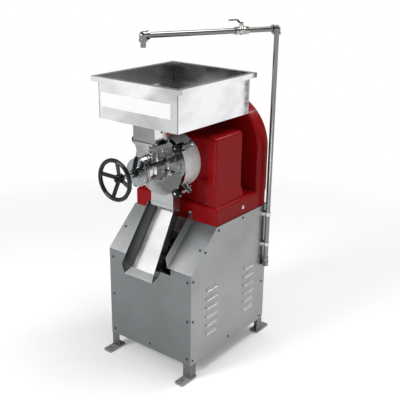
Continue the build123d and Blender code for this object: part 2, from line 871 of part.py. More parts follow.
def make_main_shaft():
    """Stepped shaft that carries the pulley, the rotor and the worm."""
    front = worm_front_y - worm_end_gap / 2
    rear = pulley_rear_y + pulley_to_cover / 2
    outline = [
        (0, front),
        (shaft_nose_radius, front),
        (shaft_nose_radius, rotor_plate_rear_y),
        (shaft_radius, rotor_plate_rear_y),
        (shaft_radius, rear),
        (0, rear),
    ]
    return turned(outline)


def make_rotor_plate():
    """Steel plate and hub behind the turning stone."""
    hub_rear_y = rotor_plate_rear_y + rotor_hub_length
    plate = ring_y(rotor_plate_radius, shaft_nose_radius + running_play,
                   (rotor_plate_front_y, rotor_plate_rear_y))
    return plate + ring_y(rotor_hub_radius, shaft_radius + running_play,
                          (rotor_plate_rear_y, hub_rear_y))


def stone_ring(y_range, inner_radius, dressed_y):
    """Grinding stone with a bevel inside its working face."""
    low, high = y_range
    bevel_radius = inner_radius + stone_bevel + stone_bevel
    if dressed_y == high:
        outline = [(inner_radius, low), (stone_radius, low), (stone_radius, high),
                   (bevel_radius, high), (inner_radius, high - stone_bevel)]
    else:
        outline = [(inner_radius, low + stone_bevel), (bevel_radius, low),
                   (stone_radius, low), (stone_radius, high), (inner_radius, high)]
    return turned(outline)


def make_feed_worm():
    """Worm that carries the soaked grain through the eye of the front stone."""
    length = rotor_plate_front_y - worm_front_y
    bore = shaft_nose_radius + running_play
    plane = Plane(origin=(0, worm_front_y, shaft_z), x_dir=(1, 0, 0), z_dir=(0, 1, 0))
    root_radius = worm_core_radius - worm_root_depth
    flight_section = Pos((root_radius + worm_flight_radius) / 2, 0) * Rectangle(
        worm_flight_radius - root_radius, worm_flight_width)
    flight = Solid.extrude_linear_with_rotation(
        (plane * flight_section).face(), center=plane.origin, normal=plane.z_dir * length,
        angle=worm_turn_angle)
    return Part() + flight + ring_y(worm_core_radius, bore, (worm_front_y, rotor_plate_front_y))


def make_motor_body():
    """Finned motor with its feet and the rear end shield that holds the shaft."""
    fins_y = (motor_front_y + motor_end_rib, motor_rear_y - motor_end_rib)
    core_radius = motor_radius - motor_fin_height
    body = rod_y(0, motor_z, (motor_front_y, motor_rear_y), core_radius)
    body += rod_y(0, motor_z, (motor_front_y, fins_y[0]), motor_radius)
    body += rod_y(0, motor_z, (fins_y[1], motor_rear_y), motor_radius)
    fin = block((0, motor_radius), fins_y,
                (motor_z - motor_fin_width / 2, motor_z + motor_fin_width / 2))
    axis = Axis((0, 0, motor_z), (0, 1, 0))
    for index in range(motor_fin_count):
        body += fin.rotate(axis, index * 360 / motor_fin_count)
    feet_y = (motor_rail_front_y - motor_rail_half_width, motor_rail_rear_y + motor_rail_half_width)
    body += block((-motor_foot_half_width, motor_foot_half_width), feet_y,
                  (motor_rail_top_z, motor_rail_top_z + motor_foot_thickness))
    return body - rod_y(0, motor_z, (motor_rear_y - motor_shaft_depth, motor_rear_y + overrun),
                        motor_shaft_radius + running_play)


def make_fan_cover():
    """Domed cover over the motor fan."""
    rear = motor_front_y
    front = rear - motor_fan_length
    cover = rod_y(0, motor_z, (front, rear), motor_radius)
    return fillet(cover.faces().sort_by(Axis.Y)[0].edges(), motor_end_rib)


def make_slide_rails():
    """Two slotted rails that let the motor be drawn back to tighten the belts."""
    rails = []
    foot_z = middle_rail_z + rail_size
    for middle_y in (motor_rail_front_y, motor_rail_rear_y):
        y_range = (middle_y - motor_rail_half_width, middle_y + motor_rail_half_width)
        rail = block((-motor_rail_half_length, motor_rail_half_length), y_range,
                     (foot_z, motor_rail_top_z))
        for side in (-1, 1):
            far = side * (motor_rail_half_length - motor_rail_half_width)
            near = side * (motor_foot_half_width + motor_rail_half_width)
            rail -= block(sorted((far, near)), (middle_y - stud_radius, middle_y + stud_radius),
                          (foot_z - overrun, motor_rail_top_z + overrun))
        rails.append(rail)
    return rails


def post_places():
    """Angles of the four posts and their studs."""
    return (post_angle, 180 - post_angle, 180 + post_angle, 360 - post_angle)


def make_chamber_ring():
    """Turned chamber ring with a back wall, four stud posts and the outlet in its foot."""
    back_front_y = pedestal_front_y - ring_back
    ring = turned([
        (seal_radius, back_front_y),
        (ring_inner_radius, back_front_y),
        (ring_inner_radius, ring_front_y),
        (ring_radius, ring_front_y),
        (ring_radius, pedestal_front_y),
        (seal_radius, pedestal_front_y),
    ])
    for angle in post_places():
        inner_x, inner_z = polar(ring_radius - ring_wall / 2, angle)
        outer_x, outer_z = polar(post_reach, angle)
        ring += rod((inner_x, post_y, inner_z), (outer_x, post_y, outer_z), post_radius)
    ring -= rod_y(0, shaft_z, (ring_front_y - overrun, back_front_y), ring_inner_radius)
    for angle in post_places():
        stud_x, stud_z = polar(stud_circle, angle)
        ring -= rod_y(stud_x, stud_z, (post_y - post_radius - overrun, post_y + post_radius + overrun),
                      stud_radius + running_play)
    outlet_half = spout_half_width - spout_sheet
    return ring - block((-outlet_half, outlet_half),
                        (ring_front_y + spout_sheet, spout_rear_y - spout_sheet),
                        (spout_foot_z, shaft_z - ring_inner_radius / 2))


def make_clamp_studs():
    """Four threaded studs through the posts, with a nut behind and in front of each post."""
    studs = []
    front = flange_front_y - knob_length
    rear = post_y + post_radius + stud_nut_thickness + stud_nut_thickness / 2
    for angle in post_places():
        x, z = polar(stud_circle, angle)
        stud = rod_y(x, z, (front, rear), stud_radius)
        for low in (post_y + post_radius, post_y - post_radius - stud_nut_thickness):
            stud += hex_y(x, z, (low, low + stud_nut_thickness), stud_nut_radius, stud_radius / 2)
        studs.append(stud)
    return studs


def make_clamp_knob(angle):
    """Lobed hand knob on one stud, bearing on the flange ear."""
    x, z = polar(stud_circle, angle)
    rear = flange_front_y
    face = rear - knob_boss_length
    front = rear - knob_length
    knob = rod_y(x, z, (front, face), knob_radius)
    rim = knob.edges().filter_by(GeomType.CIRCLE)
    knob = fillet(rim, knob_boss_length / 2)
    for index in range(knob_lobes):
        turn = math.radians(index * 360 / knob_lobes)
        reach = knob_radius * knob_dimple_share
        dimple_x = x + reach * math.cos(turn)
        dimple_z = z + reach * math.sin(turn)
        knob -= rod_y(dimple_x, dimple_z, (front - overrun, rear + overrun), knob_dimple_radius)
    knob += rod_y(x, z, (face, rear), knob_boss_radius)
    return knob - rod_y(x, z, (front - overrun, rear + overrun), stud_radius + running_play)


def make_outlet_spout():
    """Square spout under the chamber ring, with a collar round its mouth."""
    x_range = (-spout_half_width, spout_half_width)
    y_range = (ring_front_y, spout_rear_y)
    spout = block(x_range, y_range, (spout_foot_z, shaft_z))
    collar_x = (x_range[0] - spout_collar_proud, x_range[1] + spout_collar_proud)
    collar_y = (y_range[0] - spout_collar_proud, y_range[1] + spout_collar_proud)
    spout += block(collar_x, collar_y, (spout_foot_z, spout_foot_z + spout_collar_height))
    spout -= block((x_range[0] + spout_sheet, x_range[1] - spout_sheet),
                   (y_range[0] + spout_sheet, y_range[1] - spout_sheet),
                   (spout_foot_z - overrun, shaft_z + overrun))
    spout -= rod_y(0, shaft_z, (ring_front_y - overrun, pedestal_front_y), ring_radius)
    return spout & block((-flange_radius, flange_radius), (recess_floor_y, pedestal_front_y),
                         (spout_foot_z, shaft_z - ring_radius / 2))


def trough_face(distance, floor_half, mouth_half, low, high):
    """Section of the chute, a distance up its floor from the bend."""
    turn = math.radians(chute_angle)
    up = (0, math.cos(turn), math.sin(turn))
    origin = (0, chute_bend_y + distance * up[1], chute_bend_z + distance * up[2])
    plane = Plane(origin=origin, x_dir=(1, 0, 0), z_dir=(0, -up[1], -up[2]))
    flare = (mouth_half - floor_half) / chute_wall_depth
    low_half = floor_half + flare * low
    high_half = floor_half + flare * high
    outline = [(-low_half, low), (low_half, low), (high_half, high), (-high_half, high)]
    return plane * make_face(Polyline(*outline, close=True))


def trough_loft(grow, low, high):
    """Tapering block whose sides follow the chute, grown sideways by an amount."""
    faces = [
        trough_face(0, chute_bend_half + grow, chute_bend_mouth_half + grow, low, high),
        trough_face(chute_length, chute_top_half + grow, chute_top_mouth_half + grow, low, high),
    ]
    return loft(faces, ruled=True)


def chute_back_y(z):
    """Y of the underside of the chute floor at a height."""
    turn = math.radians(chute_angle)
    return chute_bend_y + (z - chute_bend_z) / math.tan(turn) + chute_sheet / math.sin(turn)


def slope_face_y(z):
    """Y of the outer face of the slope at a height."""
    return slope_top_y - (cabinet_top_z - z) / math.tan(slope_angle)


def make_chute():
    """Tapered sheet trough with a bent lip, and the bracket that holds it on the header."""
    trough = trough_loft(chute_sheet, -chute_sheet, chute_wall_depth)
    trough -= trough_loft(0, 0, chute_wall_depth)
    steep = math.radians(chute_angle)
    droop = math.radians(lip_angle)
    bend = Vector(0, chute_bend_y, chute_bend_z)
    lip_end = bend - Vector(0, math.cos(droop), math.sin(droop)) * lip_length
    under_lip = Vector(0, math.sin(droop), -math.cos(droop)) * chute_sheet
    under_trough = Vector(0, math.sin(steep), -math.cos(steep)) * chute_sheet
    mouth = bend - Vector(0, math.sin(steep), -math.cos(steep)) * chute_wall_depth
    corners = (bend, lip_end, lip_end + under_lip, bend + under_lip, bend + under_trough)
    lip_half = chute_bend_half + chute_sheet
    lip = prism_x([(point.Y, point.Z) for point in corners], (-lip_half, lip_half))
    cheek_face = make_face(Polyline(
        (chute_bend_half, bend.Y, bend.Z),
        (chute_bend_mouth_half, mouth.Y, mouth.Z),
        (chute_bend_half, lip_end.Y, lip_end.Z),
        close=True))
    cheek = extrude(cheek_face, chute_sheet, dir=(1, 0, 0))
    chute = trough + lip + cheek + mirrored_x(cheek)
    outline = [
        (chute_back_y(bracket_top_z), bracket_top_z),
        (slope_face_y(bracket_top_z), bracket_top_z),
        (slope_face_y(bracket_foot_z), bracket_foot_z),
        (chute_back_y(bracket_foot_z), bracket_foot_z),
    ]
    gusset = prism_x(outline, (bracket_half_width - bracket_sheet, bracket_half_width))
    return chute + gusset + mirrored_x(gusset)


def make_front_casting():
    """Front casting: clamp flange with ears, feed body with a flare, inlet neck and throat."""
    outline = [
        (0, ring_front_y),
        (flange_radius, ring_front_y),
        (flange_radius, flange_front_y),
        (feed_body_radius + flare_radius, flange_front_y),
        (feed_body_radius, flange_front_y - flare_radius),
        (feed_body_radius, feed_front_y),
        (0, feed_front_y),
    ]
    start = (feed_body_radius + flare_radius, flange_front_y, shaft_z)
    end = (feed_body_radius, flange_front_y - flare_radius, shaft_z)
    bow = flare_radius * (1 - math.cos(math.radians(45)))
    middle = (feed_body_radius + bow, flange_front_y - bow, shaft_z)
    straight = [(radius, y, shaft_z) for radius, y in outline]
    wire = [Line(a, b) for a, b in zip(straight[:3], straight[1:4])]
    wire.append(ThreePointArc(start, middle, end))
    wire += [Line(a, b) for a, b in zip(straight[4:], straight[5:] + straight[:1])]
    casting = revolve(make_face(wire), Axis((0, 0, shaft_z), (0, 1, 0)))
    flange_range = (flange_front_y, ring_front_y)
    for angle in post_places():
        x, z = polar(stud_circle, angle)
        casting += rod_y(x, z, flange_range, ear_radius)
        arm = block((flange_radius - ear_radius, stud_circle), flange_range,
                    (shaft_z - ear_radius, shaft_z + ear_radius))
        casting += turn_about_shaft(arm, angle)
    waist_z = shaft_z + neck_waist_height
    meet_z = shaft_z + math.sqrt(feed_body_radius ** 2 - neck_waist_half_width ** 2)
    neck = [
        (-neck_waist_half_width, shaft_z), (neck_waist_half_width, shaft_z),
        (neck_waist_half_width, meet_z), (neck_waist_half_width, waist_z),
        (neck_top_half_width, neck_top_z), (-neck_top_half_width, neck_top_z),
        (-neck_waist_half_width, waist_z), (-neck_waist_half_width, meet_z),
    ]
    casting += prism_y(neck, (neck_front_y, flange_front_y))
    flange_y = (neck_front_y - neck_flange_front_proud, flange_front_y)
    casting += block((-neck_flange_half_width, neck_flange_half_width), flange_y,
                     (neck_top_z, duct_foot_z))
    casting += rod_y(plug_x, shaft_z + plug_height, (neck_front_y - plug_boss_proud, neck_front_y),
                     plug_boss_radius)
    casting -= block((-neck_flange_half_width - seat_gap, neck_flange_half_width + seat_gap),
                     (flange_front_y - overrun, ring_front_y + overrun),
                     (duct_foot_z, shaft_z + flange_radius + overrun))
    throat = [
        (-throat_half_width, shaft_z), (throat_half_width, shaft_z),
        (throat_half_width, waist_z), (throat_top_half_width, duct_foot_z + overrun),
        (-throat_top_half_width, duct_foot_z + overrun), (-throat_half_width, waist_z),
    ]
    casting -= prism_y(throat, (neck_front_y + throat_wall, flange_front_y - throat_wall))
    casting -= rod_y(0, shaft_z, (feed_front_y - overrun, ring_front_y),
                     sleeve_radius + running_play)
    casting -= rod_y(0, shaft_z, (recess_floor_y, ring_front_y + overrun), recess_radius)
    for angle in post_places():
        x, z = polar(stud_circle, angle)
        casting -= rod_y(x, z, (flange_front_y - overrun, ring_front_y + overrun),
                         stud_radius + clear_gap)
    return casting


def make_casting_plug():
    """Slotted plug in the boss on the casting's neck."""
    z = shaft_z + plug_height
    rear = neck_front_y - plug_boss_proud
    front = rear - plug_thickness
    plug = rod_y(plug_x, z, (front, rear), plug_radius)
    return plug - block((plug_x - plug_radius, plug_x + plug_radius),
                        (front - overrun, front + plug_slot_depth),
                        (z - plug_slot_width / 2, z + plug_slot_width / 2))


def make_inlet_duct():
    """Bright sheet duct between the hopper and the casting."""
    duct = block((-neck_flange_half_width, neck_flange_half_width), (duct_front_y, duct_rear_y),
                 (duct_foot_z, duct_top_z))
    return duct - block((-neck_flange_half_width + duct_sheet, neck_flange_half_width - duct_sheet),
                        (duct_front_y + duct_sheet, duct_rear_y - duct_sheet),
                        (duct_foot_z - overrun, duct_top_z + overrun))


def make_adjusting_sleeve():
    """Sliding sleeve: ribbed collar, top window for the grain and flange for the front stone."""
    bore = spindle_radius + running_play
    outline = [(bore, sleeve_front_y), (sleeve_collar_radius, sleeve_front_y)]
    for index in range(rib_count):
        low = sleeve_front_y + rib_first + index * rib_pitch
        high = low + rib_width
        outline += [(sleeve_collar_radius, low), (sleeve_collar_radius + rib_height, low),
                    (sleeve_collar_radius + rib_height, high), (sleeve_collar_radius, high)]
    collar_rear_y = feed_front_y - sleeve_collar_gap
    outline += [
        (sleeve_collar_radius, collar_rear_y), (sleeve_radius, collar_rear_y),
        (sleeve_radius, sleeve_flange_front_y), (sleeve_flange_radius, sleeve_flange_front_y),
        (sleeve_flange_radius, front_stone_front_y), (sleeve_bore_radius, front_stone_front_y),
        (sleeve_bore_radius, sleeve_inner_y), (bore, sleeve_inner_y),
    ]
    sleeve = turned(outline)
    for angle in tie_angles:
        x, z = polar(tie_circle, angle)
        sleeve -= rod_y(x, z, (sleeve_front_y - overrun, collar_rear_y + overrun),
                        tie_rod_radius + clear_gap)
    window_y = (neck_front_y + throat_wall, flange_front_y - throat_wall)
    return sleeve - block((-window_half_width, window_half_width), window_y,
                          (shaft_z, shaft_z + sleeve_radius + overrun))


def make_adjusting_disc():
    """Fixed nut plate of the adjusting head, recessed for the spindle's collar."""
    bore = spindle_radius + running_play
    seat_radius = collar_radius + disc_recess_play
    recess_y = disc_rear_y - disc_recess_depth
    disc = turned([
        (bore, disc_boss_y), (disc_boss_radius, disc_boss_y), (disc_boss_radius, disc_front_y),
        (disc_radius, disc_front_y), (disc_radius, disc_rear_y),
        (seat_radius, disc_rear_y), (seat_radius, recess_y), (bore, recess_y),
    ])
    for angle in tie_angles:
        x, z = polar(tie_circle, angle)
        disc -= rod_y(x, z, (disc_front_y - overrun, disc_rear_y + overrun),
                      tie_rod_radius + running_play)
    return disc


def make_tie_rods():
    """Three rods that hold the disc in front of the casting and guide the sleeve's collar."""
    rods = []
    for angle in tie_angles:
        x, z = polar(tie_circle, angle)
        rods.append(rod_y(x, z, (disc_front_y, feed_front_y), tie_rod_radius))
    return rods


def make_adjusting_spindle():
    """Spindle that moves the sleeve, held by a collar on each side of its end wall."""
    front = wheel_hub_front_y - spindle_front_proud
    outline = [
        (0, front), (spindle_radius, front),
        (spindle_radius, sleeve_front_y - seat_gap - collar_thickness),
        (collar_radius, sleeve_front_y - seat_gap - collar_thickness),
        (collar_radius, sleeve_front_y - seat_gap),
        (spindle_radius, sleeve_front_y - seat_gap),
        (spindle_radius, sleeve_inner_y + seat_gap),
        (collar_radius, sleeve_inner_y + seat_gap),
        (collar_radius, sleeve_inner_y + inner_collar_thickness),
        (0, sleeve_inner_y + inner_collar_thickness),
    ]
    return turned(outline)


def make_lock_lever():
    """Lever that locks the spindle, its hub bored clear of the thread."""
    hub = rod_y(0, shaft_z, (lever_front_y, lever_rear_y), lever_hub_radius)
    arm_y = (lever_front_y, lever_front_y + lever_thickness)
    reach = lever_reach - lever_width / 2
    lean = math.degrees(math.asin(lever_tip_x / lever_reach))
    arm = block((0, reach), arm_y, (shaft_z - lever_width / 2, shaft_z + lever_width / 2))
    arm += rod_y(reach, shaft_z, arm_y, lever_width / 2)
    lever = hub + turn_about_shaft(arm, 90 - lean)
    return lever - rod_y(0, shaft_z, (lever_front_y - overrun, lever_rear_y + overrun),
                         spindle_radius + clear_gap)


def make_handwheel():
    """Dished handwheel with a round rim and tapered spokes."""
    centre = wheel_radius - wheel_rim_radius
    rim_plane = Plane(origin=(0, wheel_rim_y, shaft_z), z_dir=(0, 1, 0))
    rim = rim_plane * Torus(centre, wheel_rim_radius)
    hub_range = (wheel_hub_front_y, wheel_hub_rear_y)
    hub = rod_y(0, shaft_z, hub_range, wheel_hub_radius)
    hub = fillet(hub.edges().filter_by(GeomType.CIRCLE).sort_by(Axis.Y)[0], wheel_hub_round)
    hub_mid_y = wheel_hub_front_y + wheel_hub_length / 2
    half = wheel_spoke_thickness / 2
    outline = [(wheel_hub_radius / 2, hub_mid_y - half), (wheel_hub_radius / 2, hub_mid_y + half),
               (centre, wheel_rim_y + half), (centre, wheel_rim_y - half)]
    foot_z = shaft_z - wheel_spoke_width / 2
    wire = Polyline(*[(x, y, foot_z) for x, y in outline], close=True)
    spoke = extrude(make_face(wire), wheel_spoke_width, dir=(0, 0, 1))
    wheel = rim + hub
    for index in range(wheel_spokes):
        wheel += turn_about_shaft(spoke, wheel_spoke_angle + index * 360 / wheel_spokes)
    return wheel - rod_y(0, shaft_z, (hub_range[0] - overrun, hub_range[1] + overrun),
                         spindle_radius + running_play)


def make_hopper_shell():
    """Square hopper walls with a turned-down rim, a foot flange and two cross straps."""
    shell = block(hopper_x, hopper_y, (duct_top_z, hopper_top_z))
    rim_x = (hopper_x[0] - rim_reach, hopper_x[1] + rim_reach)
    rim_y = (hopper_y[0] - rim_reach, hopper_y[1] + rim_reach)
    shell += block(rim_x, rim_y, (hopper_top_z - rim_drop, hopper_top_z))
    under = block((rim_x[0] + hopper_sheet, rim_x[1] - hopper_sheet),
                  (rim_y[0] + hopper_sheet, rim_y[1] - hopper_sheet),
                  (hopper_top_z - rim_drop - overrun, hopper_top_z - hopper_sheet))
    under -= block(hopper_x, hopper_y, (duct_top_z, hopper_top_z))
    shell -= under
    inner_x = (hopper_x[0] + hopper_sheet, hopper_x[1] - hopper_sheet)
    inner_y = (hopper_y[0] + hopper_sheet, hopper_y[1] - hopper_sheet)
    shell -= block(inner_x, inner_y, (duct_top_z + hopper_sheet, hopper_top_z + overrun))
    shell -= block((hopper_x[0] + hopper_flange, hopper_x[1] - hopper_flange),
                   (duct_rear_y + seat_gap, hopper_y[1] - hopper_flange),
                   (duct_top_z - overrun, duct_top_z + hopper_sheet + overrun))
    for middle_y in (strap_front_y, strap_rear_y):
        shell += block(inner_x, (middle_y - strap_width / 2, middle_y + strap_width / 2),
                       (duct_top_z, duct_top_z + strap_thickness))
    return shell - funnel_loft(0)


def funnel_loft(grow):
    """Tapering block inside the hopper, its sides moved in by an amount."""
    top_z = hopper_top_z - funnel_drop
    inner = hopper_sheet + grow
    top_x = (hopper_x[0] + inner, hopper_x[1] - inner)
    top_y = (hopper_y[0] + inner, hopper_y[1] - inner)
    foot_x = (-neck_flange_half_width + grow, neck_flange_half_width - grow)
    foot_y = (duct_front_y + grow, duct_rear_y - grow)
    faces = []
    for x_range, y_range, z in ((foot_x, foot_y, duct_top_z), (top_x, top_y, top_z)):
        corners = [(x_range[0], y_range[0], z), (x_range[1], y_range[0], z),
                   (x_range[1], y_range[1], z), (x_range[0], y_range[1], z)]
        faces.append(make_face(Polyline(*corners, close=True)))
    return loft(faces, ruled=True)


def make_hopper_funnel():
    """Sloping floor of the hopper, drawn down to the inlet duct."""
    return funnel_loft(0) - funnel_loft(hopper_sheet)


def tube(start, end):
    """Length of the water pipe."""
    return rod(start, end, pipe_radius) - rod(start, end, pipe_radius - pipe_wall)


def make_riser_pipe():
    """Upright water pipe at the right rear corner."""
    return tube((riser_x, riser_y, riser_foot_z + coupling_length),
                (riser_x, riser_y, arm_z - fitting_reach))


def make_inlet_coupling():
    """Coupling at the foot of the riser, with a socket that takes the supply pipe."""
    foot, top = riser_foot_z, riser_foot_z + coupling_length
    plane = Plane(origin=(riser_x, riser_y, foot))
    coupling = plane * extrude(RegularPolygon(coupling_radius, 6), coupling_length / 2)
    coupling += rod((riser_x, riser_y, foot), (riser_x, riser_y, top), coupling_body_radius)
    coupling -= rod((riser_x, riser_y, foot - overrun), (riser_x, riser_y, top + overrun),
                    pipe_port_radius)
    return coupling - rod((riser_x, riser_y, foot - overrun),
                          (riser_x, riser_y, foot + inlet_socket_depth), inlet_socket_radius)


def elbow(corner, direction):
    """Elbow with a band round each mouth: one mouth down, the other along a direction."""
    paths = (Vector(0, 0, -1), Vector(1, 0, 0))
    centre = Vector(0, 0, 0)
    fitting = Sphere(fitting_radius)
    for path in paths:
        mouth = path * fitting_reach
        fitting += rod(centre, mouth, fitting_radius)
        fitting += rod(mouth - path * fitting_band_width, mouth, fitting_band_radius)
    fitting -= Sphere(pipe_port_radius)
    for path in paths:
        fitting -= rod(centre, path * (fitting_reach + overrun), pipe_port_radius)
    return Plane(origin=corner, x_dir=direction, z_dir=(0, 0, 1)) * fitting


def make_top_elbow():
    """Elbow from the riser to the arm."""
    return elbow(arm_start, arm_along)


def make_end_elbow():
    """Elbow at the arm's end, with the short nozzle that points into the hopper."""
    mouth = arm_end - Vector(0, 0, fitting_reach)
    tip = mouth - Vector(0, 0, nozzle_length)
    fitting = elbow(arm_end, arm_along * -1)
    fitting += rod(mouth, tip, pipe_radius)
    return fitting - rod(arm_end, tip - Vector(0, 0, overrun), pipe_port_radius)


def make_arm_pipes():
    """The arm's two lengths of pipe, one on each side of the valve."""
    return [
        tube(arm_start + arm_along * fitting_reach, valve_centre - arm_along * valve_half_length),
        tube(valve_centre + arm_along * valve_half_length, arm_end - arm_along * fitting_reach),
    ]


def make_valve_body():
    """Ball valve body with hexagonal ends, stem boss and ball seat."""
    half_path = arm_along * valve_half_length
    ends = (valve_centre - half_path, valve_centre + half_path)
    body = rod(ends[0], ends[1], fitting_radius)
    body += Pos(*valve_centre) * Sphere(valve_radius + clear_gap)
    for end, direction in ((ends[0], arm_along), (ends[1], arm_along * -1)):
        plane = Plane(origin=end, z_dir=direction)
        body += plane * extrude(RegularPolygon(valve_radius, 6), valve_half_length / 2)
    top = valve_centre + Vector(0, 0, stem_boss_height)
    body += rod(valve_centre, top, stem_boss_radius)
    body -= Pos(*valve_centre) * Sphere(valve_ball_radius + clear_gap)
    body -= rod(ends[0] - arm_along * overrun, ends[1] + arm_along * overrun, pipe_port_radius)
    return body - rod(valve_centre, top + Vector(0, 0, overrun), stem_radius + running_play)


def make_valve_ball():
    """Bored ball and its stem."""
    stem_top = valve_centre + Vector(0, 0, stem_height - valve_lever_thickness)
    ball = Pos(*valve_centre) * Sphere(valve_ball_radius)
    ball += rod(valve_centre, stem_top, stem_radius)
    reach = arm_along * valve_radius
    return ball - rod(valve_centre - reach, valve_centre + reach, pipe_port_radius)


def make_valve_lever():
    """Cranked lever on the stem; in line with the pipe it is open."""
    foot = valve_centre + Vector(0, 0, stem_height - valve_lever_thickness)
    plane = Plane(origin=foot, x_dir=arm_along, z_dir=(0, 0, 1))
    half = valve_lever_width / 2
    crank = stem_boss_radius + valve_lever_rise
    side = [
        (-half, 0), (stem_boss_radius, 0), (crank, valve_lever_rise),
        (valve_lever_length, valve_lever_rise),
        (valve_lever_length, valve_lever_rise + valve_lever_thickness),
        (crank - valve_lever_thickness / 2, valve_lever_rise + valve_lever_thickness),
        (stem_boss_radius - valve_lever_thickness / 2, valve_lever_thickness),
        (-half, valve_lever_thickness),
    ]
    side_plane = Plane(origin=foot, x_dir=arm_along, z_dir=plane.y_dir * -1)
    profile = side_plane.offset(-half) * make_face(Polyline(*side, close=True))
    lever = extrude(profile, valve_lever_width)
    upright = lever.edges().filter_by(Axis.Z)
    far = upright.sort_by(lambda edge: (edge.center() - valve_centre).length)[-2:]
    return fillet(far, half / 2)


def make_pipe_clips():
    """Two clips that hold the riser on the right side sheet."""
    clips = []
    outer = pipe_radius + clip_sheet
    for middle_z in clip_heights:
        z_range = (middle_z - clip_width / 2, middle_z + clip_width / 2)
        low, high = (riser_x, riser_y, z_range[0]), (riser_x, riser_y, z_range[1])
        clip = rod(low, high, outer)
        clip &= block((half_width, riser_x + outer), (riser_y - outer, riser_y + outer), z_range)
        clip += block((half_width, riser_x), (riser_y - outer, riser_y + outer), z_range)
        tab_y = (riser_y - outer - clip_tab, riser_y)
        clip += block((half_width, half_width + clip_sheet), tab_y, z_range)
        clip -= rod((riser_x, riser_y, z_range[0] - overrun), (riser_x, riser_y, z_range[1] + overrun),
                    pipe_radius)
        clip -= block((half_width, riser_x), (riser_y - pipe_radius, riser_y + pipe_radius),
                      (z_range[0] - overrun, z_range[1] + overrun))
        clips.append(clip)
    return clips


def save(name, shape):
    """Write one named piece, or a group of like pieces, to its file."""
    if isinstance(shape, list):
        shape = Compound(children=[Compound(list(piece.solids())) for piece in shape])
    export_step(shape, os.path.join("parts", name + ".step"))


def main():
    os.makedirs("parts", exist_ok=True)
    right_leg_front = make_leg(False)
    right_leg_rear = make_leg(True)
    save("leg_front_right", right_leg_front)
    save("leg_front_left", mirrored_x(right_leg_front))
    save("leg_rear_right", right_leg_rear)
    save("leg_rear_left", mirrored_x(right_leg_rear))
    save("foot_plates", make_foot_plates())
    save("frame_rails", make_frame_rails())
    save("mounting_plate", make_mounting_plate())
    save("front_panel", make_front_panel())
    right_panel = make_side_panel()
    save("right_panel", right_panel)
    save("left_panel", mirrored_x(right_panel))
    save("rear_panel", block((-half_width, half_width), (frame_rear_y, rear_y),
                             (cabinet_foot_z, cabinet_top_z)))
    right_cover = make_slope_cover()
    save("slope_cover_right", right_cover)
    save("slope_cover_left", mirrored_x(right_cover))
    save("plinth", make_plinth())
    save("pedestal", make_pedestal())
    save("front_bearing", make_bearing(pedestal_front_y))
    save("rear_bearing", make_bearing(pedestal_rear_y - bearing_width))
    save("shaft_seal", ring_y(seal_radius, shaft_radius + running_play,
                              (pedestal_front_y - ring_back, pedestal_front_y)))
    save("belt_guard", make_belt_guard())
    save("guard_back_cover", make_back_cover())
    save("driven_pulley", make_driven_pulley())
    save("motor_pulley", make_motor_pulley())
    save("drive_belts", make_drive_belts())
    save("main_shaft", make_main_shaft())
    save("rotor_plate", make_rotor_plate())
    save("rotor_stone", stone_ring((rotor_stone_front_y, rotor_plate_front_y), rotor_eye_radius,
                                   rotor_stone_front_y))
    save("feed_worm", make_feed_worm())
    save("motor_body", make_motor_body())
    save("motor_fan_cover", make_fan_cover())
    save("motor_shaft", rod_y(0, motor_z, (motor_rear_y - motor_shaft_depth + seat_gap,
                                           pulley_rear_y), motor_shaft_radius))
    save("motor_slide_rails", make_slide_rails())
    save("chamber_ring", make_chamber_ring())
    save("clamp_studs", make_clamp_studs())
    knob_names = ("upper_right", "upper_left", "lower_left", "lower_right")
    for name, angle in zip(knob_names, post_places()):
        save("clamp_knob_" + name, make_clamp_knob(angle))
    save("outlet_spout", make_outlet_spout())
    save("chute", make_chute())
    save("front_casting", make_front_casting())
    save("casting_plug", make_casting_plug())
    save("inlet_duct", make_inlet_duct())
    save("adjusting_sleeve", make_adjusting_sleeve())
    save("front_stone", stone_ring((front_stone_front_y, front_stone_rear_y), stone_eye_radius,
                                   front_stone_rear_y))
    save("adjusting_disc", make_adjusting_disc())
    save("tie_rods", make_tie_rods())
    save("adjusting_spindle", make_adjusting_spindle())
    save("lock_lever", make_lock_lever())
    save("handwheel", make_handwheel())
    save("hopper_shell", make_hopper_shell())
    save("hopper_funnel", make_hopper_funnel())
    save("riser_pipe", make_riser_pipe())
    save("inlet_coupling", make_inlet_coupling())
    save("top_elbow", make_top_elbow())
    save("end_elbow", make_end_elbow())
    save("arm_pipes", make_arm_pipes())
    save("valve_body", make_valve_body())
    save("valve_ball", make_valve_ball())
    save("valve_lever", make_valve_lever())
    save("pipe_clips", make_pipe_clips())


main()
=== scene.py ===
import math

import bmesh
import bpy
from mathutils import Matrix, Vector


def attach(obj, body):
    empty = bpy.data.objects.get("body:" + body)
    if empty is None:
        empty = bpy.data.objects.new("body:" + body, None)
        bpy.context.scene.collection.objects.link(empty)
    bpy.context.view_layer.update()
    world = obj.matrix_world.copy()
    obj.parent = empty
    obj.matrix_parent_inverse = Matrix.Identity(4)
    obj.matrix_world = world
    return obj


# Rice wet mill: materials, small fasteners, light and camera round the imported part. Metres.

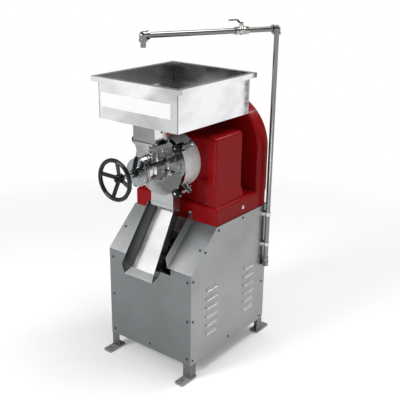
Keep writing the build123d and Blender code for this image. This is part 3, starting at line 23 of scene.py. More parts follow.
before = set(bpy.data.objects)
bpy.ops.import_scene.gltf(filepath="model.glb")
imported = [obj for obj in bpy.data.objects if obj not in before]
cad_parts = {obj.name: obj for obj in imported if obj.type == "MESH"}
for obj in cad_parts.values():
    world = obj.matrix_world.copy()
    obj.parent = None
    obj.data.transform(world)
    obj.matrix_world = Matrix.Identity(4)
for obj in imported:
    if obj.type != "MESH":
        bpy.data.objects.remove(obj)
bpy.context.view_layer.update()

SHAFT_Z = 0.886
HALF_WIDTH = 0.225
FRONT_Y = -0.272
REAR_Y = 0.272
SLOPE_FOOT_Z, SLOPE_HEAD_Z = 0.487, 0.643
SLOPE_HEAD_Y = -0.105
SLOPE_ANGLE = math.atan2(SLOPE_HEAD_Z - SLOPE_FOOT_Z, SLOPE_HEAD_Y - FRONT_Y)
SPINDLE_TIP_Y = -0.43
DUCT_SIDE_X = 0.0558
POST_START = 0.1155
BARREL_RADIUS = 0.0545
BARREL_REAR_Y = -0.222
CHUTE_ANGLE = math.radians(57.7)
CHUTE_FOOT_Y = -0.297
CHUTE_FOOT_Z = 0.448
HOPPER_MIDDLE_X, HOPPER_HALF_X = -0.032, 0.2018
HOPPER_MIDDLE_Y, HOPPER_HALF_Y = -0.061, 0.2315
HOPPER_TOP_Z = 1.23


# Materials

def new_material(name, color, metallic, roughness):
    """Material with its Principled shader set to plain values."""
    material = bpy.data.materials.new(name)
    material.use_nodes = True
    shader = material.node_tree.nodes["Principled BSDF"]
    shader.inputs["Base Color"].default_value = (*color, 1)
    shader.inputs["Metallic"].default_value = metallic
    shader.inputs["Roughness"].default_value = roughness
    return material, material.node_tree, shader


def node(tree, kind, **values):
    """New node; values name its properties or its input sockets."""
    made = tree.nodes.new(kind)
    for key, value in values.items():
        if hasattr(made, key):
            setattr(made, key, value)
        else:
            made.inputs[key.replace("_", " ")].default_value = value
    return made


def object_coords(tree, stretch=(1, 1, 1)):
    """Object coordinates, scaled along each axis."""
    coords = node(tree, "ShaderNodeTexCoord")
    mapping = node(tree, "ShaderNodeMapping")
    mapping.inputs["Scale"].default_value = stretch
    tree.links.new(coords.outputs["Object"], mapping.inputs["Vector"])
    return mapping.outputs["Vector"]


def noise(tree, vector, scale, detail=4.0, rough=0.55):
    """Noise factor on a vector."""
    made = node(tree, "ShaderNodeTexNoise", Scale=scale, Detail=detail, Roughness=rough)
    tree.links.new(vector, made.inputs["Vector"])
    return made.outputs["Fac"]


def spread(tree, factor, low, high, start=0.3, end=0.7):
    """Factor remapped to run from low to high."""
    made = node(tree, "ShaderNodeMapRange")
    for key, value in (("From Min", start), ("From Max", end), ("To Min", low), ("To Max", high)):
        made.inputs[key].default_value = value
    tree.links.new(factor, made.inputs["Value"])
    return made.outputs["Result"]


def color_mix(tree, factor, first, second):
    """Colour between two, by a factor."""
    made = tree.nodes.new("ShaderNodeMix")
    made.data_type = "RGBA"
    tree.links.new(factor, made.inputs["Factor"])
    for key, value in (("A", first), ("B", second)):
        socket = [s for s in made.inputs if s.name == key and s.type == "RGBA"][0]
        if isinstance(value, tuple):
            socket.default_value = (*value, 1)
        else:
            tree.links.new(value, socket)
    return [s for s in made.outputs if s.type == "RGBA"][0]


def bump(tree, shader, height, strength, distance):
    """Bump from a height, into the shader's normal."""
    made = node(tree, "ShaderNodeBump", Strength=strength, Distance=distance)
    tree.links.new(height, made.inputs["Height"])
    tree.links.new(made.outputs["Normal"], shader.inputs["Normal"])


def math_node(tree, operation, *terms):
    """Result of a Math node whose inputs are sockets or plain numbers."""
    made = node(tree, "ShaderNodeMath", operation=operation)
    for index, term in enumerate(terms):
        if isinstance(term, (int, float)):
            made.inputs[index].default_value = term
        else:
            tree.links.new(term, made.inputs[index])
    return made.outputs["Value"]


def place_on_part(tree):
    """X, Y and Z of the shaded point on the part."""
    place = node(tree, "ShaderNodeSeparateXYZ")
    tree.links.new(object_coords(tree), place.inputs["Vector"])
    return [place.outputs[axis] for axis in "XYZ"]


def axis_distance_square(tree, x, z):
    """Square of the distance from the main shaft's axis."""
    up = math_node(tree, "SUBTRACT", z, SHAFT_Z)
    return math_node(tree, "ADD", math_node(tree, "MULTIPLY", x, x),
                     math_node(tree, "MULTIPLY", up, up))


def recolor(material, mask, color, cloud_share=0.15):
    """Another tint where the mask is one, with darker clouds (lighter for a share below 0)."""
    tree = material.node_tree
    shader = tree.nodes["Principled BSDF"]
    cloud = noise(tree, object_coords(tree), 9.0, 4.0, 0.55)
    clouded = tuple(value * (1 - cloud_share) for value in color)
    tint = color_mix(tree, spread(tree, cloud, 0, 1, 0.4, 0.62), color, clouded)
    kept = shader.inputs["Base Color"].links[0].from_socket
    tree.links.new(color_mix(tree, mask, kept, tint), shader.inputs["Base Color"])


def brushed_metal(name, color, roughness, stretch, streak=0.12, dull=0.06, stain=0.14,
                  depth=0.00006):
    """Rolled or brushed steel: fine streaks along one axis, faint stains and varied gloss."""
    material, tree, shader = new_material(name, color, 1.0, roughness)
    streaks = noise(tree, object_coords(tree, stretch), 1.0, 6.0, 0.7)
    cloud = noise(tree, object_coords(tree), 5.0, 4.0, 0.5)
    tint = tuple(value * (1 - streak) for value in color)
    shade = color_mix(tree, spread(tree, streaks, 0, 1), color, tint)
    darker = tuple(value * (1 - stain) for value in color)
    stained = color_mix(tree, spread(tree, cloud, 0, 1, 0.4, 0.65), shade, darker)
    tree.links.new(stained, shader.inputs["Base Color"])
    streaked = spread(tree, streaks, roughness - dull, roughness + dull)
    tree.links.new(math_node(tree, "ADD", streaked, spread(tree, cloud, -dull, dull)),
                   shader.inputs["Roughness"])
    bump(tree, shader, streaks, 0.25, depth)
    return material


def polished_metal(name, color, roughness, wave=0.0006, swell_scale=5.0, haze=0.12):
    """Mirror-polished sheet: slight waviness, cloudy patches and faint wipe marks."""
    material, tree, shader = new_material(name, color, 1.0, roughness)
    wipe = noise(tree, object_coords(tree, (9, 9, 30)), 1.0, 5.0, 0.6)
    tree.links.new(spread(tree, wipe, roughness * 0.5, roughness * 1.9), shader.inputs["Roughness"])
    cloud = noise(tree, object_coords(tree, (4, 4, 6)), 1.0, 3.0, 0.45)
    darker = tuple(value * (1 - haze) for value in color)
    tree.links.new(color_mix(tree, spread(tree, cloud, 0, 1, 0.42, 0.6), color, darker),
                   shader.inputs["Base Color"])
    swell = noise(tree, object_coords(tree), swell_scale, 1.0, 0.4)
    bump(tree, shader, swell, 0.5, wave)
    return material


def hopper_metal(name, outside, inside, rim_top, seam):
    """Hopper sheet: polished outside; inside the walls a duller finish with painted shade and a
    rear wall painted lighter as painted light; a painted reflection on the front wall; dark on the
    rim and the seams.
    """
    material = polished_metal(name, outside, 0.15, haze=0.2)
    tree = material.node_tree
    rough = tree.nodes["Principled BSDF"].inputs["Roughness"]
    x, y, z = place_on_part(tree)
    off_x = math_node(tree, "ABSOLUTE", math_node(tree, "SUBTRACT", x, HOPPER_MIDDLE_X))
    off_y = math_node(tree, "ABSOLUTE", math_node(tree, "SUBTRACT", y, HOPPER_MIDDLE_Y))

    inner = math_node(tree, "MULTIPLY", math_node(tree, "LESS_THAN", off_x, HOPPER_HALF_X),
                      math_node(tree, "LESS_THAN", off_y, HOPPER_HALF_Y))
    # Painted shade: the inner walls get a dark tint, with lighter clouds, over their duller finish.
    recolor(material, inner, inside, -0.6)
    # Painted light: the rear inner wall gets a tint 4.6 times lighter than the other inner walls,
    # with darker clouds.
    rear = math_node(tree, "GREATER_THAN", y, HOPPER_MIDDLE_Y + HOPPER_HALF_Y - 0.004)
    recolor(material, math_node(tree, "MULTIPLY", inner, rear),
            tuple(value * 4.6 for value in inside), 0.75)
    duller = math_node(tree, "MULTIPLY_ADD", inner, 0.24, rough.links[0].from_socket)
    tree.links.new(duller, rough)

    # A painted reflection: a greyer field with a slanted edge covers the right of the front wall.
    field = spread(tree, math_node(tree, "MULTIPLY_ADD", z, -1.44, x), 0, 1, -1.70, -1.65)
    front = math_node(tree, "LESS_THAN", y, HOPPER_MIDDLE_Y - HOPPER_HALF_Y - 0.0004)
    recolor(material, math_node(tree, "MULTIPLY", field, front),
            tuple(value * 0.7 for value in outside), 0.2)

    recolor(material, math_node(tree, "GREATER_THAN", z, HOPPER_TOP_Z - 0.0004), rim_top, 0.3)
    corner = math_node(tree, "MULTIPLY",
                       math_node(tree, "GREATER_THAN", off_x, HOPPER_HALF_X - 0.001),
                       math_node(tree, "GREATER_THAN", off_y, HOPPER_HALF_Y - 0.001))
    below_rim = math_node(tree, "LESS_THAN", z, HOPPER_TOP_Z - 0.0202)
    recolor(material, math_node(tree, "MULTIPLY", corner, below_rim), seam)
    return material


def gloss_paint(name, color, roughness, peel=0.25, specular=0.12, coat=0.35):
    """Sprayed enamel: orange peel, slight shade changes and a clear coat."""
    material, tree, shader = new_material(name, color, 0.0, roughness)
    shader.inputs["Specular IOR Level"].default_value = specular
    shader.inputs["Coat Weight"].default_value = coat
    shader.inputs["Coat Roughness"].default_value = 0.04
    cloud = noise(tree, object_coords(tree), 4.0, 3.0, 0.5)
    darker = tuple(value * 0.8 for value in color)
    tree.links.new(color_mix(tree, spread(tree, cloud, 0, 1), color, darker),
                   shader.inputs["Base Color"])
    tree.links.new(spread(tree, cloud, roughness * 0.8, roughness * 1.3),
                   shader.inputs["Roughness"])
    skin = noise(tree, object_coords(tree), 220.0, 2.0, 0.4)
    bump(tree, shader, skin, peel, 0.00015)
    return material


def cast_metal(name, color, metallic, roughness, grain=0.0006):
    """Sand-cast surface: grainy, patchy and partly rubbed bright."""
    material, tree, shader = new_material(name, color, metallic, roughness)
    grit = noise(tree, object_coords(tree), 420.0, 4.0, 0.6)
    patch = noise(tree, object_coords(tree), 18.0, 4.0, 0.6)
    lighter = tuple(min(1, value * 1.45) for value in color)
    tree.links.new(color_mix(tree, spread(tree, patch, 0, 0.8), color, lighter),
                   shader.inputs["Base Color"])
    tree.links.new(spread(tree, patch, roughness - 0.1, roughness + 0.12),
                   shader.inputs["Roughness"])
    bump(tree, shader, grit, 0.5, grain)
    return material


def turned_metal(name, color, roughness, metallic=1.0):
    """Machined steel with fine rings and small changes of gloss."""
    material, tree, shader = new_material(name, color, metallic, roughness)
    rings = noise(tree, object_coords(tree, (6, 900, 6)), 1.0, 3.0, 0.6)
    patch = noise(tree, object_coords(tree), 30.0, 3.0, 0.5)
    darker = tuple(value * 0.75 for value in color)
    tree.links.new(color_mix(tree, spread(tree, patch, 0, 0.7), color, darker),
                   shader.inputs["Base Color"])
    tree.links.new(spread(tree, rings, roughness * 0.7, roughness * 1.5),
                   shader.inputs["Roughness"])
    bump(tree, shader, rings, 0.2, 0.0001)
    return material


def speckled(name, base, fleck, roughness, scale, height):
    """Matt grained surface, such as grinding stone or rubber."""
    material, tree, shader = new_material(name, base, 0.0, roughness)
    grain = noise(tree, object_coords(tree), scale, 5.0, 0.65)
    tree.links.new(color_mix(tree, spread(tree, grain, 0, 1, 0.45, 0.62), base, fleck),
                   shader.inputs["Base Color"])
    tree.links.new(spread(tree, grain, roughness - 0.08, roughness + 0.08),
                   shader.inputs["Roughness"])
    bump(tree, shader, grain, 0.6, height)
    return material


# Lit and shaded copies of one cabinet steel: the front sheet is painted darker as painted shade,
# the side and rear sheets lighter as painted light.
SHADED_FRONT_STEEL = brushed_metal("steel_front_sheet_painted_shade", (0.215, 0.228, 0.232), 0.34, (4, 4, 600))
LIT_SIDE_STEEL = brushed_metal("steel_side_sheet_painted_light", (0.35, 0.356, 0.358), 0.34, (4, 4, 600), 0.08,
                           stain=0.12)
STEEL_COVER = brushed_metal("steel_cover_sheet", (0.36, 0.375, 0.385), 0.3, (260, 5, 5), 0.05,
                            dull=0.015, stain=0.25, depth=0.000002)
STEEL_LEG = brushed_metal("steel_leg_bar", (0.19, 0.195, 0.198), 0.38, (160, 160, 4))
STEEL_FOOT = brushed_metal("steel_foot_plate", (0.34, 0.345, 0.35), 0.38, (60, 160, 30))
STEEL_FOOT.node_tree.nodes["Principled BSDF"].inputs["Metallic"].default_value = 0.4
STEEL_FRAME = brushed_metal("steel_frame_bar", (0.20, 0.205, 0.21), 0.45, (30, 30, 30))
STEEL_CHUTE = brushed_metal("steel_chute_sheet", (0.80, 0.81, 0.82), 0.2, (700, 8, 8), 0.05,
                            stain=0.06, depth=0.00001)
STEEL_SPOUT = brushed_metal("steel_spout_sheet", (0.48, 0.49, 0.49), 0.24, (4, 4, 600))
STEEL_DUCT = polished_metal("polished_duct", (0.30, 0.31, 0.315), 0.12, 0.002, 14.0, 0.3)
STEEL_PIPE = brushed_metal("steel_pipe", (0.25, 0.255, 0.25), 0.18, (9, 9, 9), 0.12, 0.05,
                           depth=0.00001)
MIRROR = hopper_metal("mirror_hopper", (0.90, 0.905, 0.91), (0.12, 0.125, 0.135),
                      (0.26, 0.265, 0.27), (0.3, 0.305, 0.31))
DULL_SHEET = brushed_metal("dull_inner_sheet", (0.14, 0.145, 0.15), 0.36, (30, 60, 30))
RING_STEEL = turned_metal("turned_ring", (0.89, 0.94, 0.94), 0.2, 0.1)
RED = gloss_paint("red_enamel", (0.275, 0.0035, 0.0055), 0.3, 0.12, 0.04, 0.12)
BLACK = gloss_paint("black_enamel", (0.010, 0.010, 0.011), 0.22, 0.12)
BLACK_PLASTIC = speckled("black_knob_plastic", (0.006, 0.006, 0.007), (0.012, 0.012, 0.013),
                         0.34, 500.0, 0.00005)
BLACK_PLASTIC.node_tree.nodes["Principled BSDF"].inputs["Specular IOR Level"].default_value = 0.16
CAST_GREY = cast_metal("cast_grey", (0.16, 0.165, 0.17), 0.85, 0.36)
CAST_BRIGHT = polished_metal("polished_casting", (0.50, 0.505, 0.51), 0.09, 0.006, 34.0, 0.7)
SLEEVE_STEEL = polished_metal("polished_sleeve", (0.90, 0.905, 0.91), 0.08, 0.004, 26.0, 0.35)
DISC_STEEL = turned_metal("turned_disc", (0.36, 0.375, 0.385), 0.24)
MOTOR_PAINT = cast_metal("motor_paint", (0.08, 0.10, 0.12), 0.1, 0.45, 0.0003)
TURNED = turned_metal("turned_steel", (0.62, 0.63, 0.64), 0.2)
STUD_STEEL = turned_metal("stud_steel", (0.58, 0.585, 0.59), 0.14)
SPINDLE_STEEL = turned_metal("spindle_steel", (0.62, 0.63, 0.64), 0.2)
SCREW_STEEL = brushed_metal("screw_steel", (0.07, 0.072, 0.075), 0.2, (90, 90, 90))
STONE = speckled("grinding_stone", (0.62, 0.60, 0.54), (0.42, 0.40, 0.36), 0.9, 260.0, 0.0008)
RUBBER = speckled("black_rubber", (0.02, 0.02, 0.02), (0.035, 0.035, 0.035), 0.75, 300.0, 0.0002)
BRASS = brushed_metal("plated_brass", (0.50, 0.49, 0.46), 0.22, (30, 30, 30), 0.15, 0.07)
LABEL_WHITE = speckled("label_film", (0.80, 0.80, 0.80), (0.79, 0.79, 0.79),
                       0.35, 500.0, 0.00002)
# Near-white strips on the louvres' open edges: sheared edges, brightened as painted highlight
# lines.
HIGHLIGHT_EDGE_STEEL = turned_metal("sheared_edge_highlight_steel", (0.92, 0.92, 0.92), 0.3)


def shade_spindle():
    """Dark front end of the spindle, in the handwheel's hub."""
    tree = SPINDLE_STEEL.node_tree
    y = place_on_part(tree)[1]
    recolor(SPINDLE_STEEL, math_node(tree, "LESS_THAN", y, SPINDLE_TIP_Y), (0.02, 0.02, 0.022))


def paint_cover_reflection():
    """Covers that get lighter towards their lower edge: a painted reflection."""
    tree = STEEL_COVER.node_tree
    z = place_on_part(tree)[2]
    recolor(STEEL_COVER, spread(tree, z, 1, 0, SLOPE_FOOT_Z, 0.62), (0.58, 0.59, 0.60))


def paint_louvre_hood_highlights():
    """Hoods where the side sheets stand proud, painted lighter as a painted highlight."""
    tree = LIT_SIDE_STEEL.node_tree
    x = place_on_part(tree)[0]
    proud = math_node(tree, "GREATER_THAN", math_node(tree, "ABSOLUTE", x), HALF_WIDTH + 0.0005)
    recolor(LIT_SIDE_STEEL, proud, (0.62, 0.63, 0.635))


def shade_ring_posts():
    """Grey metal posts round the bright chamber ring."""
    tree = RING_STEEL.node_tree
    x, _, z = place_on_part(tree)
    post = math_node(tree, "GREATER_THAN", axis_distance_square(tree, x, z), POST_START ** 2)
    recolor(RING_STEEL, post, (0.36, 0.365, 0.37))
    tree.links.new(math_node(tree, "MULTIPLY_ADD", post, 0.8, 0.1),
                   tree.nodes["Principled BSDF"].inputs["Metallic"])


def shade_feed_barrel():
    """Brighter polish on the round feed body of the front casting."""
    tree = CAST_BRIGHT.node_tree
    x, y, z = place_on_part(tree)
    near_axis = math_node(tree, "LESS_THAN", axis_distance_square(tree, x, z), BARREL_RADIUS ** 2)
    barrel = math_node(tree, "MULTIPLY", near_axis,
                       math_node(tree, "LESS_THAN", y, BARREL_REAR_Y))
    recolor(CAST_BRIGHT, barrel, (0.88, 0.885, 0.89), 0.4)


def paint_duct_side_light():
    """Side walls of the inlet duct painted brighter than its front, as painted light."""
    tree = STEEL_DUCT.node_tree
    x = place_on_part(tree)[0]
    side = math_node(tree, "GREATER_THAN", math_node(tree, "ABSOLUTE", x), DUCT_SIDE_X)
    recolor(STEEL_DUCT, side, (0.92, 0.92, 0.905))


def paint_chute_wall_shade():
    """Painted shade on the chute's walls, darker than its bright floor: dark inner faces and grey
    outer faces; and a duller lip.
    """
    tree = STEEL_CHUTE.node_tree
    x, y, z = place_on_part(tree)
    off = math_node(tree, "ABSOLUTE", x)
    low_y = math_node(tree, "SUBTRACT", y, CHUTE_FOOT_Y)
    low_z = math_node(tree, "SUBTRACT", z, CHUTE_FOOT_Z)

    floor_half, floor_taper = 0.0740, 0.0537
    floor_edge = math_node(tree, "MULTIPLY_ADD", low_z, -floor_taper, floor_half)
    # Painted shade: the walls get a dark tint.
    wall = math_node(tree, "GREATER_THAN", off, floor_edge)
    recolor(STEEL_CHUTE, wall, (0.16, 0.165, 0.17))

    # The walls lean outwards, most at the foot, so the inner face is found along the slope.
    cosine, sine = math.cos(CHUTE_ANGLE), math.sin(CHUTE_ANGLE)
    along = math_node(tree, "ADD", math_node(tree, "MULTIPLY", low_y, cosine),
                      math_node(tree, "MULTIPLY", low_z, sine))
    above = math_node(tree, "SUBTRACT", math_node(tree, "MULTIPLY", low_z, cosine),
                      math_node(tree, "MULTIPLY", low_y, sine))
    foot_half, taper = 0.075, 0.04545
    foot_lean, lean_loss = 0.2404, 0.3698
    lean = math_node(tree, "MULTIPLY_ADD", along, -lean_loss, foot_lean)
    inner_face = math_node(tree, "ADD", math_node(tree, "MULTIPLY_ADD", along, -taper, foot_half),
                           math_node(tree, "MULTIPLY", above, lean))
    # Lighter painted shade: the outer faces of the walls get a grey tint.
    outer = math_node(tree, "GREATER_THAN", math_node(tree, "SUBTRACT", off, inner_face), 0.0008)
    recolor(STEEL_CHUTE, outer, (0.42, 0.425, 0.43))

    ahead = math_node(tree, "LESS_THAN", y, CHUTE_FOOT_Y - 0.0002)
    lip = math_node(tree, "MULTIPLY", ahead, math_node(tree, "SUBTRACT", 1.0, wall))
    tree.links.new(math_node(tree, "MULTIPLY_ADD", lip, -0.6, 1.0),
                   tree.nodes["Principled BSDF"].inputs["Metallic"])


shade_spindle()
paint_cover_reflection()
paint_louvre_hood_highlights()
shade_ring_posts()
shade_feed_barrel()
paint_duct_side_light()
paint_chute_wall_shade()

NODE_MATERIALS = {
    SHADED_FRONT_STEEL: ["front_panel"],
    LIT_SIDE_STEEL: ["right_panel", "left_panel", "rear_panel"],
    STEEL_COVER: ["slope_cover_left", "slope_cover_right", "mounting_plate"],
    STEEL_LEG: ["leg_front_left", "leg_front_right", "leg_rear_left", "leg_rear_right"],
    STEEL_FOOT: ["foot_plates"],
    STEEL_FRAME: ["frame_rails", "motor_slide_rails"],
    STEEL_CHUTE: ["chute"],
    STEEL_SPOUT: ["outlet_spout"],
    STEEL_DUCT: ["inlet_duct"],
    STEEL_PIPE: ["riser_pipe", "arm_pipes", "inlet_coupling", "top_elbow", "end_elbow"],
    MIRROR: ["hopper_shell"],
    DULL_SHEET: ["hopper_funnel"],
    RING_STEEL: ["chamber_ring"],
    RED: ["plinth", "pedestal", "belt_guard", "guard_back_cover"],
    BLACK: ["handwheel", "lock_lever", "motor_fan_cover"],
    BLACK_PLASTIC: ["clamp_knob_upper_right", "clamp_knob_upper_left", "clamp_knob_lower_left",
                    "clamp_knob_lower_right", "valve_lever"],
    CAST_GREY: ["driven_pulley", "motor_pulley"],
    CAST_BRIGHT: ["front_casting", "casting_plug"],
    SLEEVE_STEEL: ["adjusting_sleeve"],
    DISC_STEEL: ["adjusting_disc"],
    MOTOR_PAINT: ["motor_body"],
    TURNED: ["main_shaft", "front_bearing", "rear_bearing", "motor_shaft", "rotor_plate",
             "feed_worm", "pipe_clips"],
    SPINDLE_STEEL: ["adjusting_spindle"],
    STUD_STEEL: ["clamp_studs", "tie_rods"],
    STONE: ["front_stone", "rotor_stone"],
    RUBBER: ["shaft_seal", "drive_belts"],
    BRASS: ["valve_body", "valve_ball"],
}
for material, names in NODE_MATERIALS.items():
    for name in names:
        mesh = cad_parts[name].data
        mesh.materials.clear()
        mesh.materials.append(material)


# Small fasteners

def standing_frame(place, normal, turn):
    """Matrix that stands a small piece on a face, turned about the face's normal."""
    rotation = Vector(normal).to_track_quat("Z", "Y").to_matrix().to_4x4()
    return Matrix.Translation(place) @ rotation @ Matrix.Rotation(turn, 4, "Z")


def skin_rings(mesh, rings):
    """Side faces between rings of vertices, and a cap on each end."""
    count = len(rings[0])
    for low, high in zip(rings, rings[1:]):
        for index in range(count):
            after = (index + 1) % count
            mesh.faces.new((low[index], low[after], high[after], high[index]))
    mesh.faces.new(rings[-1])
    mesh.faces.new(list(reversed(rings[0])))


def head_profile(radius, height):
    """Rings of a domed screw head from its foot up: pairs of radius and height."""
    steps = 5
    points = [(radius, 0.0)]
    for step in range(steps):
        turn = step / steps * math.pi / 2
        points.append((radius * math.cos(turn) ** 0.8, height * (0.35 + 0.65 * math.sin(turn))))
    return points


def add_head(mesh, matrix, radius, height):
    """Domed head with a screwdriver slot."""
    sides = 20
    rings = []
    for ring_radius, ring_height in head_profile(radius, height):
        ring = []
        for side in range(sides):
            angle = side / sides * math.tau
            x, y = ring_radius * math.cos(angle), ring_radius * math.sin(angle)
            in_slot = abs(y) < radius * 0.16 and ring_height > height * 0.5
            dip = height * 0.45 if in_slot else 0.0
            ring.append(mesh.verts.new(matrix @ Vector((x, y, ring_height - dip))))
        rings.append(ring)
    skin_rings(mesh, rings)


def finish_piece(name, mesh, material, smooth=True, body="base"):
    """Object from a bmesh, with its material, riding on a body."""
    data = bpy.data.meshes.new(name)
    mesh.to_mesh(data)
    mesh.free()
    for face in data.polygons:
        face.use_smooth = smooth
    data.materials.append(material)
    made = bpy.data.objects.new(name, data)
    bpy.context.scene.collection.objects.link(made)
    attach(made, body)


def screws(name, places, radius, height, material):
    """Group of screw heads; each place is a point and the face's normal."""
    mesh = bmesh.new()
    for index, (place, normal) in enumerate(places):
        add_head(mesh, standing_frame(place, normal, 0.7 * index), radius, height)
    finish_piece(name, mesh, material)


SHEET_SCREW = (0.0055, 0.003, SCREW_STEEL)

front_screws = []
for z in (0.448, 0.271, 0.095):
    front_screws.append(((-0.205, FRONT_Y, z), (0, -1, 0)))
    front_screws.append(((0.207, FRONT_Y, z + 0.003), (0, -1, 0)))
front_screws.append(((0.002, FRONT_Y, 0.095), (0, -1, 0)))
screws("front_panel_screws", front_screws, *SHEET_SCREW)

side_places = [(-0.258, 0.455), (-0.257, 0.274), (-0.257, 0.090), (-0.180, 0.556),
               (-0.091, 0.625), (0.081, 0.630), (-0.003, 0.092), (0.249, 0.266), (0.246, 0.087)]
for side, label in ((1, "right"), (-1, "left")):
    places = [((side * HALF_WIDTH, y, z), (side, 0, 0)) for y, z in side_places]
    screws(label + "_panel_screws", places, *SHEET_SCREW)
rear_places = [((x, REAR_Y, z), (0, 1, 0)) for x in (-0.205, 0, 0.205) for z in (0.095, 0.62)]
rear_places += [((x, REAR_Y, 0.36), (0, 1, 0)) for x in (-0.205, 0.205)]
screws("rear_panel_screws", rear_places, *SHEET_SCREW)

slope_normal = (0, -math.sin(SLOPE_ANGLE), math.cos(SLOPE_ANGLE))
cover_y = -0.190
cover_z = SLOPE_FOOT_Z + (cover_y - FRONT_Y) * math.tan(SLOPE_ANGLE)
cover_places = [((x, cover_y, cover_z), slope_normal) for x in (-0.2045, 0.2045)]
screws("cover_screws", cover_places, *SHEET_SCREW)
plinth_places = [((x, SLOPE_HEAD_Y, 0.674), (0, -1, 0)) for x in (-0.087, 0.087)]
plinth_places += [((side * 0.22, 0.082, 0.676), (side, 0, 0)) for side in (-1, 1)]
screws("plinth_bolts", plinth_places, 0.0085, 0.006, TURNED)
duct_places = [((side * 0.056, y, z), (side, 0, 0)) for side in (-1, 1)
               for y, z in ((-0.250, 1.0407), (-0.2137, 1.0248))]
screws("duct_screws", duct_places, 0.0048, 0.003, SCREW_STEEL)


def add_prism(mesh, matrix, radius, height, sides, chamfer):
    """Prism or bar along Z with a chamfered far end."""
    rings = []
    for ring_radius, ring_height in ((radius, 0.0), (radius, height - chamfer),
                                     (radius - chamfer, height)):
        angles = [side / sides * math.tau for side in range(sides)]
        rings.append([mesh.verts.new(matrix @ Vector((ring_radius * math.cos(angle),
                                                      ring_radius * math.sin(angle),
                                                      ring_height)))
                      for angle in angles])
    skin_rings(mesh, rings)


def nuts(name, places, material, radius, height, stud_radius, stud_length):
    """Group of hexagon nuts on stud ends; each place is a point, a normal and a turn."""
    mesh = bmesh.new()
    for place, normal, turn in places:
        matrix = standing_frame(place, normal, turn)
        add_prism(mesh, matrix, radius, height, 6, radius * 0.08)
        add_prism(mesh, matrix, stud_radius, stud_length, 16, stud_radius * 0.25)
    finish_piece(name, mesh, material, smooth=False)


nuts("flange_nuts", [((side * 0.068, -0.207, 0.868), (0, -1, 0), 0.3 * side)
                     for side in (-1, 1)], TURNED, 0.0098, 0.009, 0.005, 0.018)


def label_plate(name, x_range, z_range, y, corner, thickness, material):
    """Blank label: a thin plate with rounded corners on an upright front face."""
    mesh = bmesh.new()
    outline = []
    for x, z, start in ((x_range[1] - corner, z_range[1] - corner, 0),
                        (x_range[0] + corner, z_range[1] - corner, 90),
                        (x_range[0] + corner, z_range[0] + corner, 180),
                        (x_range[1] - corner, z_range[0] + corner, 270)):
        for step in range(5):
            angle = math.radians(start + step * 22.5)
            outline.append((x + corner * math.cos(angle), z + corner * math.sin(angle)))
    back = [mesh.verts.new((x, y, z)) for x, z in outline]
    front = [mesh.verts.new((x, y - thickness, z)) for x, z in outline]
    skin_rings(mesh, [back, front])
    bmesh.ops.recalc_face_normals(mesh, faces=mesh.faces)
    finish_piece(name, mesh, material, smooth=False)


def louvre_edges(name, side):
    """Bright strips along the open side of the pressed louvres in one side sheet: sheared edges,
    brightened as a painted highlight line.
    """
    mesh = bmesh.new()
    middle_x = 0.2314
    section = [(0.2304, -0.0002), (0.2324, -0.0004), (0.2323, 0.0012), (0.2311, 0.0022)]
    half_length, end_length, end_shrink = 0.034, 0.0015, 0.6
    lowest_z, pitch = 0.175, 0.0405
    stations = [(-half_length, end_shrink), (end_length - half_length, 1.0),
                (half_length - end_length, 1.0), (half_length, end_shrink)]
    for middle_y in (-0.135, 0.137):
        for row in range(6):
            low_z = lowest_z + row * pitch
            rings = [[mesh.verts.new((side * (middle_x + (x - middle_x) * shrink), middle_y + off,
                                      low_z + rise * shrink)) for x, rise in section]
                     for off, shrink in stations]
            skin_rings(mesh, rings)
    bmesh.ops.recalc_face_normals(mesh, faces=mesh.faces)
    finish_piece(name, mesh, HIGHLIGHT_EDGE_STEEL, smooth=False)


louvre_edges("right_louvre_highlight_edges", 1)
louvre_edges("left_louvre_highlight_edges", -1)
label_plate("blank_hopper_label", (-0.225, 0.137), (1.110, 1.168), -0.2939, 0.002, 0.0004,
            LABEL_WHITE)


# Stage, light and camera

def background_rays(tree):
    """One for the rays that show the white background: camera, glossy and transmission."""
    path = node(tree, "ShaderNodeLightPath")
    seen = math_node(tree, "MAXIMUM", path.outputs["Is Camera Ray"], path.outputs["Is Glossy Ray"])
    return math_node(tree, "MAXIMUM", seen, path.outputs["Is Transmission Ray"])


def make_floor():
    """Pale floor that keeps the object's shadow and fades into the white background."""
    mesh = bmesh.new()
    bmesh.ops.create_grid(mesh, x_segments=8, y_segments=8, size=4)
    data = bpy.data.meshes.new("floor")
    mesh.to_mesh(data)
    mesh.free()
    floor = bpy.data.objects.new("floor", data)
    bpy.context.scene.collection.objects.link(floor)
    material, tree, shader = new_material("pale_floor", (0.86, 0.86, 0.86), 0.0, 0.6)
    shader.inputs["Specular IOR Level"].default_value = 0.1
    shader.inputs["Emission Color"].default_value = (1, 1, 1, 1)
    tree.links.new(math_node(tree, "MULTIPLY", background_rays(tree), 0.16),
                   shader.inputs["Emission Strength"])
    distance = node(tree, "ShaderNodeVectorMath", operation="LENGTH")
    tree.links.new(object_coords(tree), distance.inputs[0])
    fade = spread(tree, distance.outputs["Value"], 0, 1, 1.2, 2.6)
    clear = node(tree, "ShaderNodeBsdfTransparent")
    mix = node(tree, "ShaderNodeMixShader")
    tree.links.new(fade, mix.inputs["Fac"])
    tree.links.new(shader.outputs["BSDF"], mix.inputs[1])
    tree.links.new(clear.outputs["BSDF"], mix.inputs[2])
    tree.links.new(mix.outputs["Shader"], tree.nodes["Material Output"].inputs["Surface"])
    data.materials.append(material)


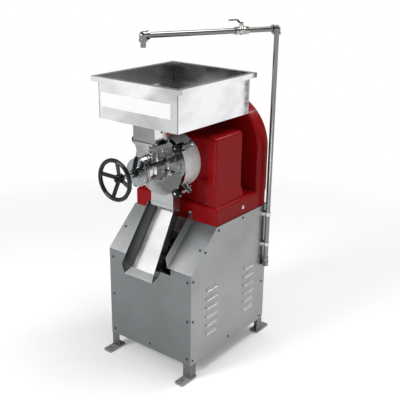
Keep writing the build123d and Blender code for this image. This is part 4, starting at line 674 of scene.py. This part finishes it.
def make_world():
    """White background, a dark ceiling and a soft panel for the metal, and an even grey sky."""
    world = bpy.data.worlds.new("studio")
    bpy.context.scene.world = world
    world.use_nodes = True
    tree = world.node_tree
    output = tree.nodes["World Output"]
    light = tree.nodes["Background"]
    light.inputs["Color"].default_value = (1, 1, 1, 1)
    light.inputs["Strength"].default_value = 0.4
    coords = node(tree, "ShaderNodeTexCoord")
    place = node(tree, "ShaderNodeSeparateXYZ")
    tree.links.new(coords.outputs["Generated"], place.inputs["Vector"])
    ceiling = spread(tree, place.outputs["Z"], 1.0, 0.12, -0.05, 0.35)
    panel_direction = (-0.65, -0.5, 0.57)
    toward = node(tree, "ShaderNodeVectorMath", operation="DOT_PRODUCT")
    tree.links.new(coords.outputs["Generated"], toward.inputs[0])
    toward.inputs[1].default_value = panel_direction
    panel = spread(tree, toward.outputs["Value"], 0.0, 0.85, 0.80, 0.97)
    camera_ray = node(tree, "ShaderNodeLightPath").outputs["Is Camera Ray"]
    strength = math_node(tree, "MAXIMUM", math_node(tree, "MAXIMUM", ceiling, panel), camera_ray)
    white = node(tree, "ShaderNodeBackground")
    white.inputs["Color"].default_value = (1, 1, 1, 1)
    tree.links.new(strength, white.inputs["Strength"])
    mix = node(tree, "ShaderNodeMixShader")
    tree.links.new(background_rays(tree), mix.inputs["Fac"])
    tree.links.new(light.outputs["Background"], mix.inputs[1])
    tree.links.new(white.outputs["Background"], mix.inputs[2])
    tree.links.new(mix.outputs["Shader"], output.inputs["Surface"])


def area_light(name, place, target, size, power):
    """Soft square light aimed at a point."""
    data = bpy.data.lights.new(name, "AREA")
    data.shape = "SQUARE"
    data.size = size
    data.energy = power
    lamp = bpy.data.objects.new(name, data)
    lamp.location = place
    aim = Vector(target) - Vector(place)
    lamp.rotation_euler = aim.to_track_quat("-Z", "Y").to_euler()
    bpy.context.scene.collection.objects.link(lamp)


def make_camera():
    """Camera at the photograph's viewpoint."""
    data = bpy.data.cameras.new("camera")
    data.sensor_width = 36
    data.lens = 64.035
    camera = bpy.data.objects.new("camera", data)
    turn = Matrix.Rotation(math.radians(37.547), 4, "Z")
    turn = turn @ Matrix.Rotation(math.radians(90 - 19.961), 4, "X")
    turn = turn @ Matrix.Rotation(math.radians(0.837), 4, "Z")
    camera.matrix_world = Matrix.Translation((1.8005, -2.2712, 1.7332)) @ turn
    bpy.context.scene.collection.objects.link(camera)
    bpy.context.scene.camera = camera


make_floor()
make_world()
area_light("key", (-0.9, -3.0, 2.3), (0, 0, 0.7), 1.2, 76)
area_light("fill", (3.0, -1.0, 2.0), (0, 0, 0.7), 1.6, 7)
area_light("top", (0.5, 0.5, 3.4), (0, 0, 0.8), 1.5, 46)
area_light("rim", (1.03, 2.4, 2.92), (0.1, 0, 1.0), 0.7, 20)
area_light("edge", (1.69, -1.35, 0.24), (0.15, -0.1, 0.9), 0.35, 4)
make_camera()
bpy.context.scene.view_settings.view_transform = "Standard"
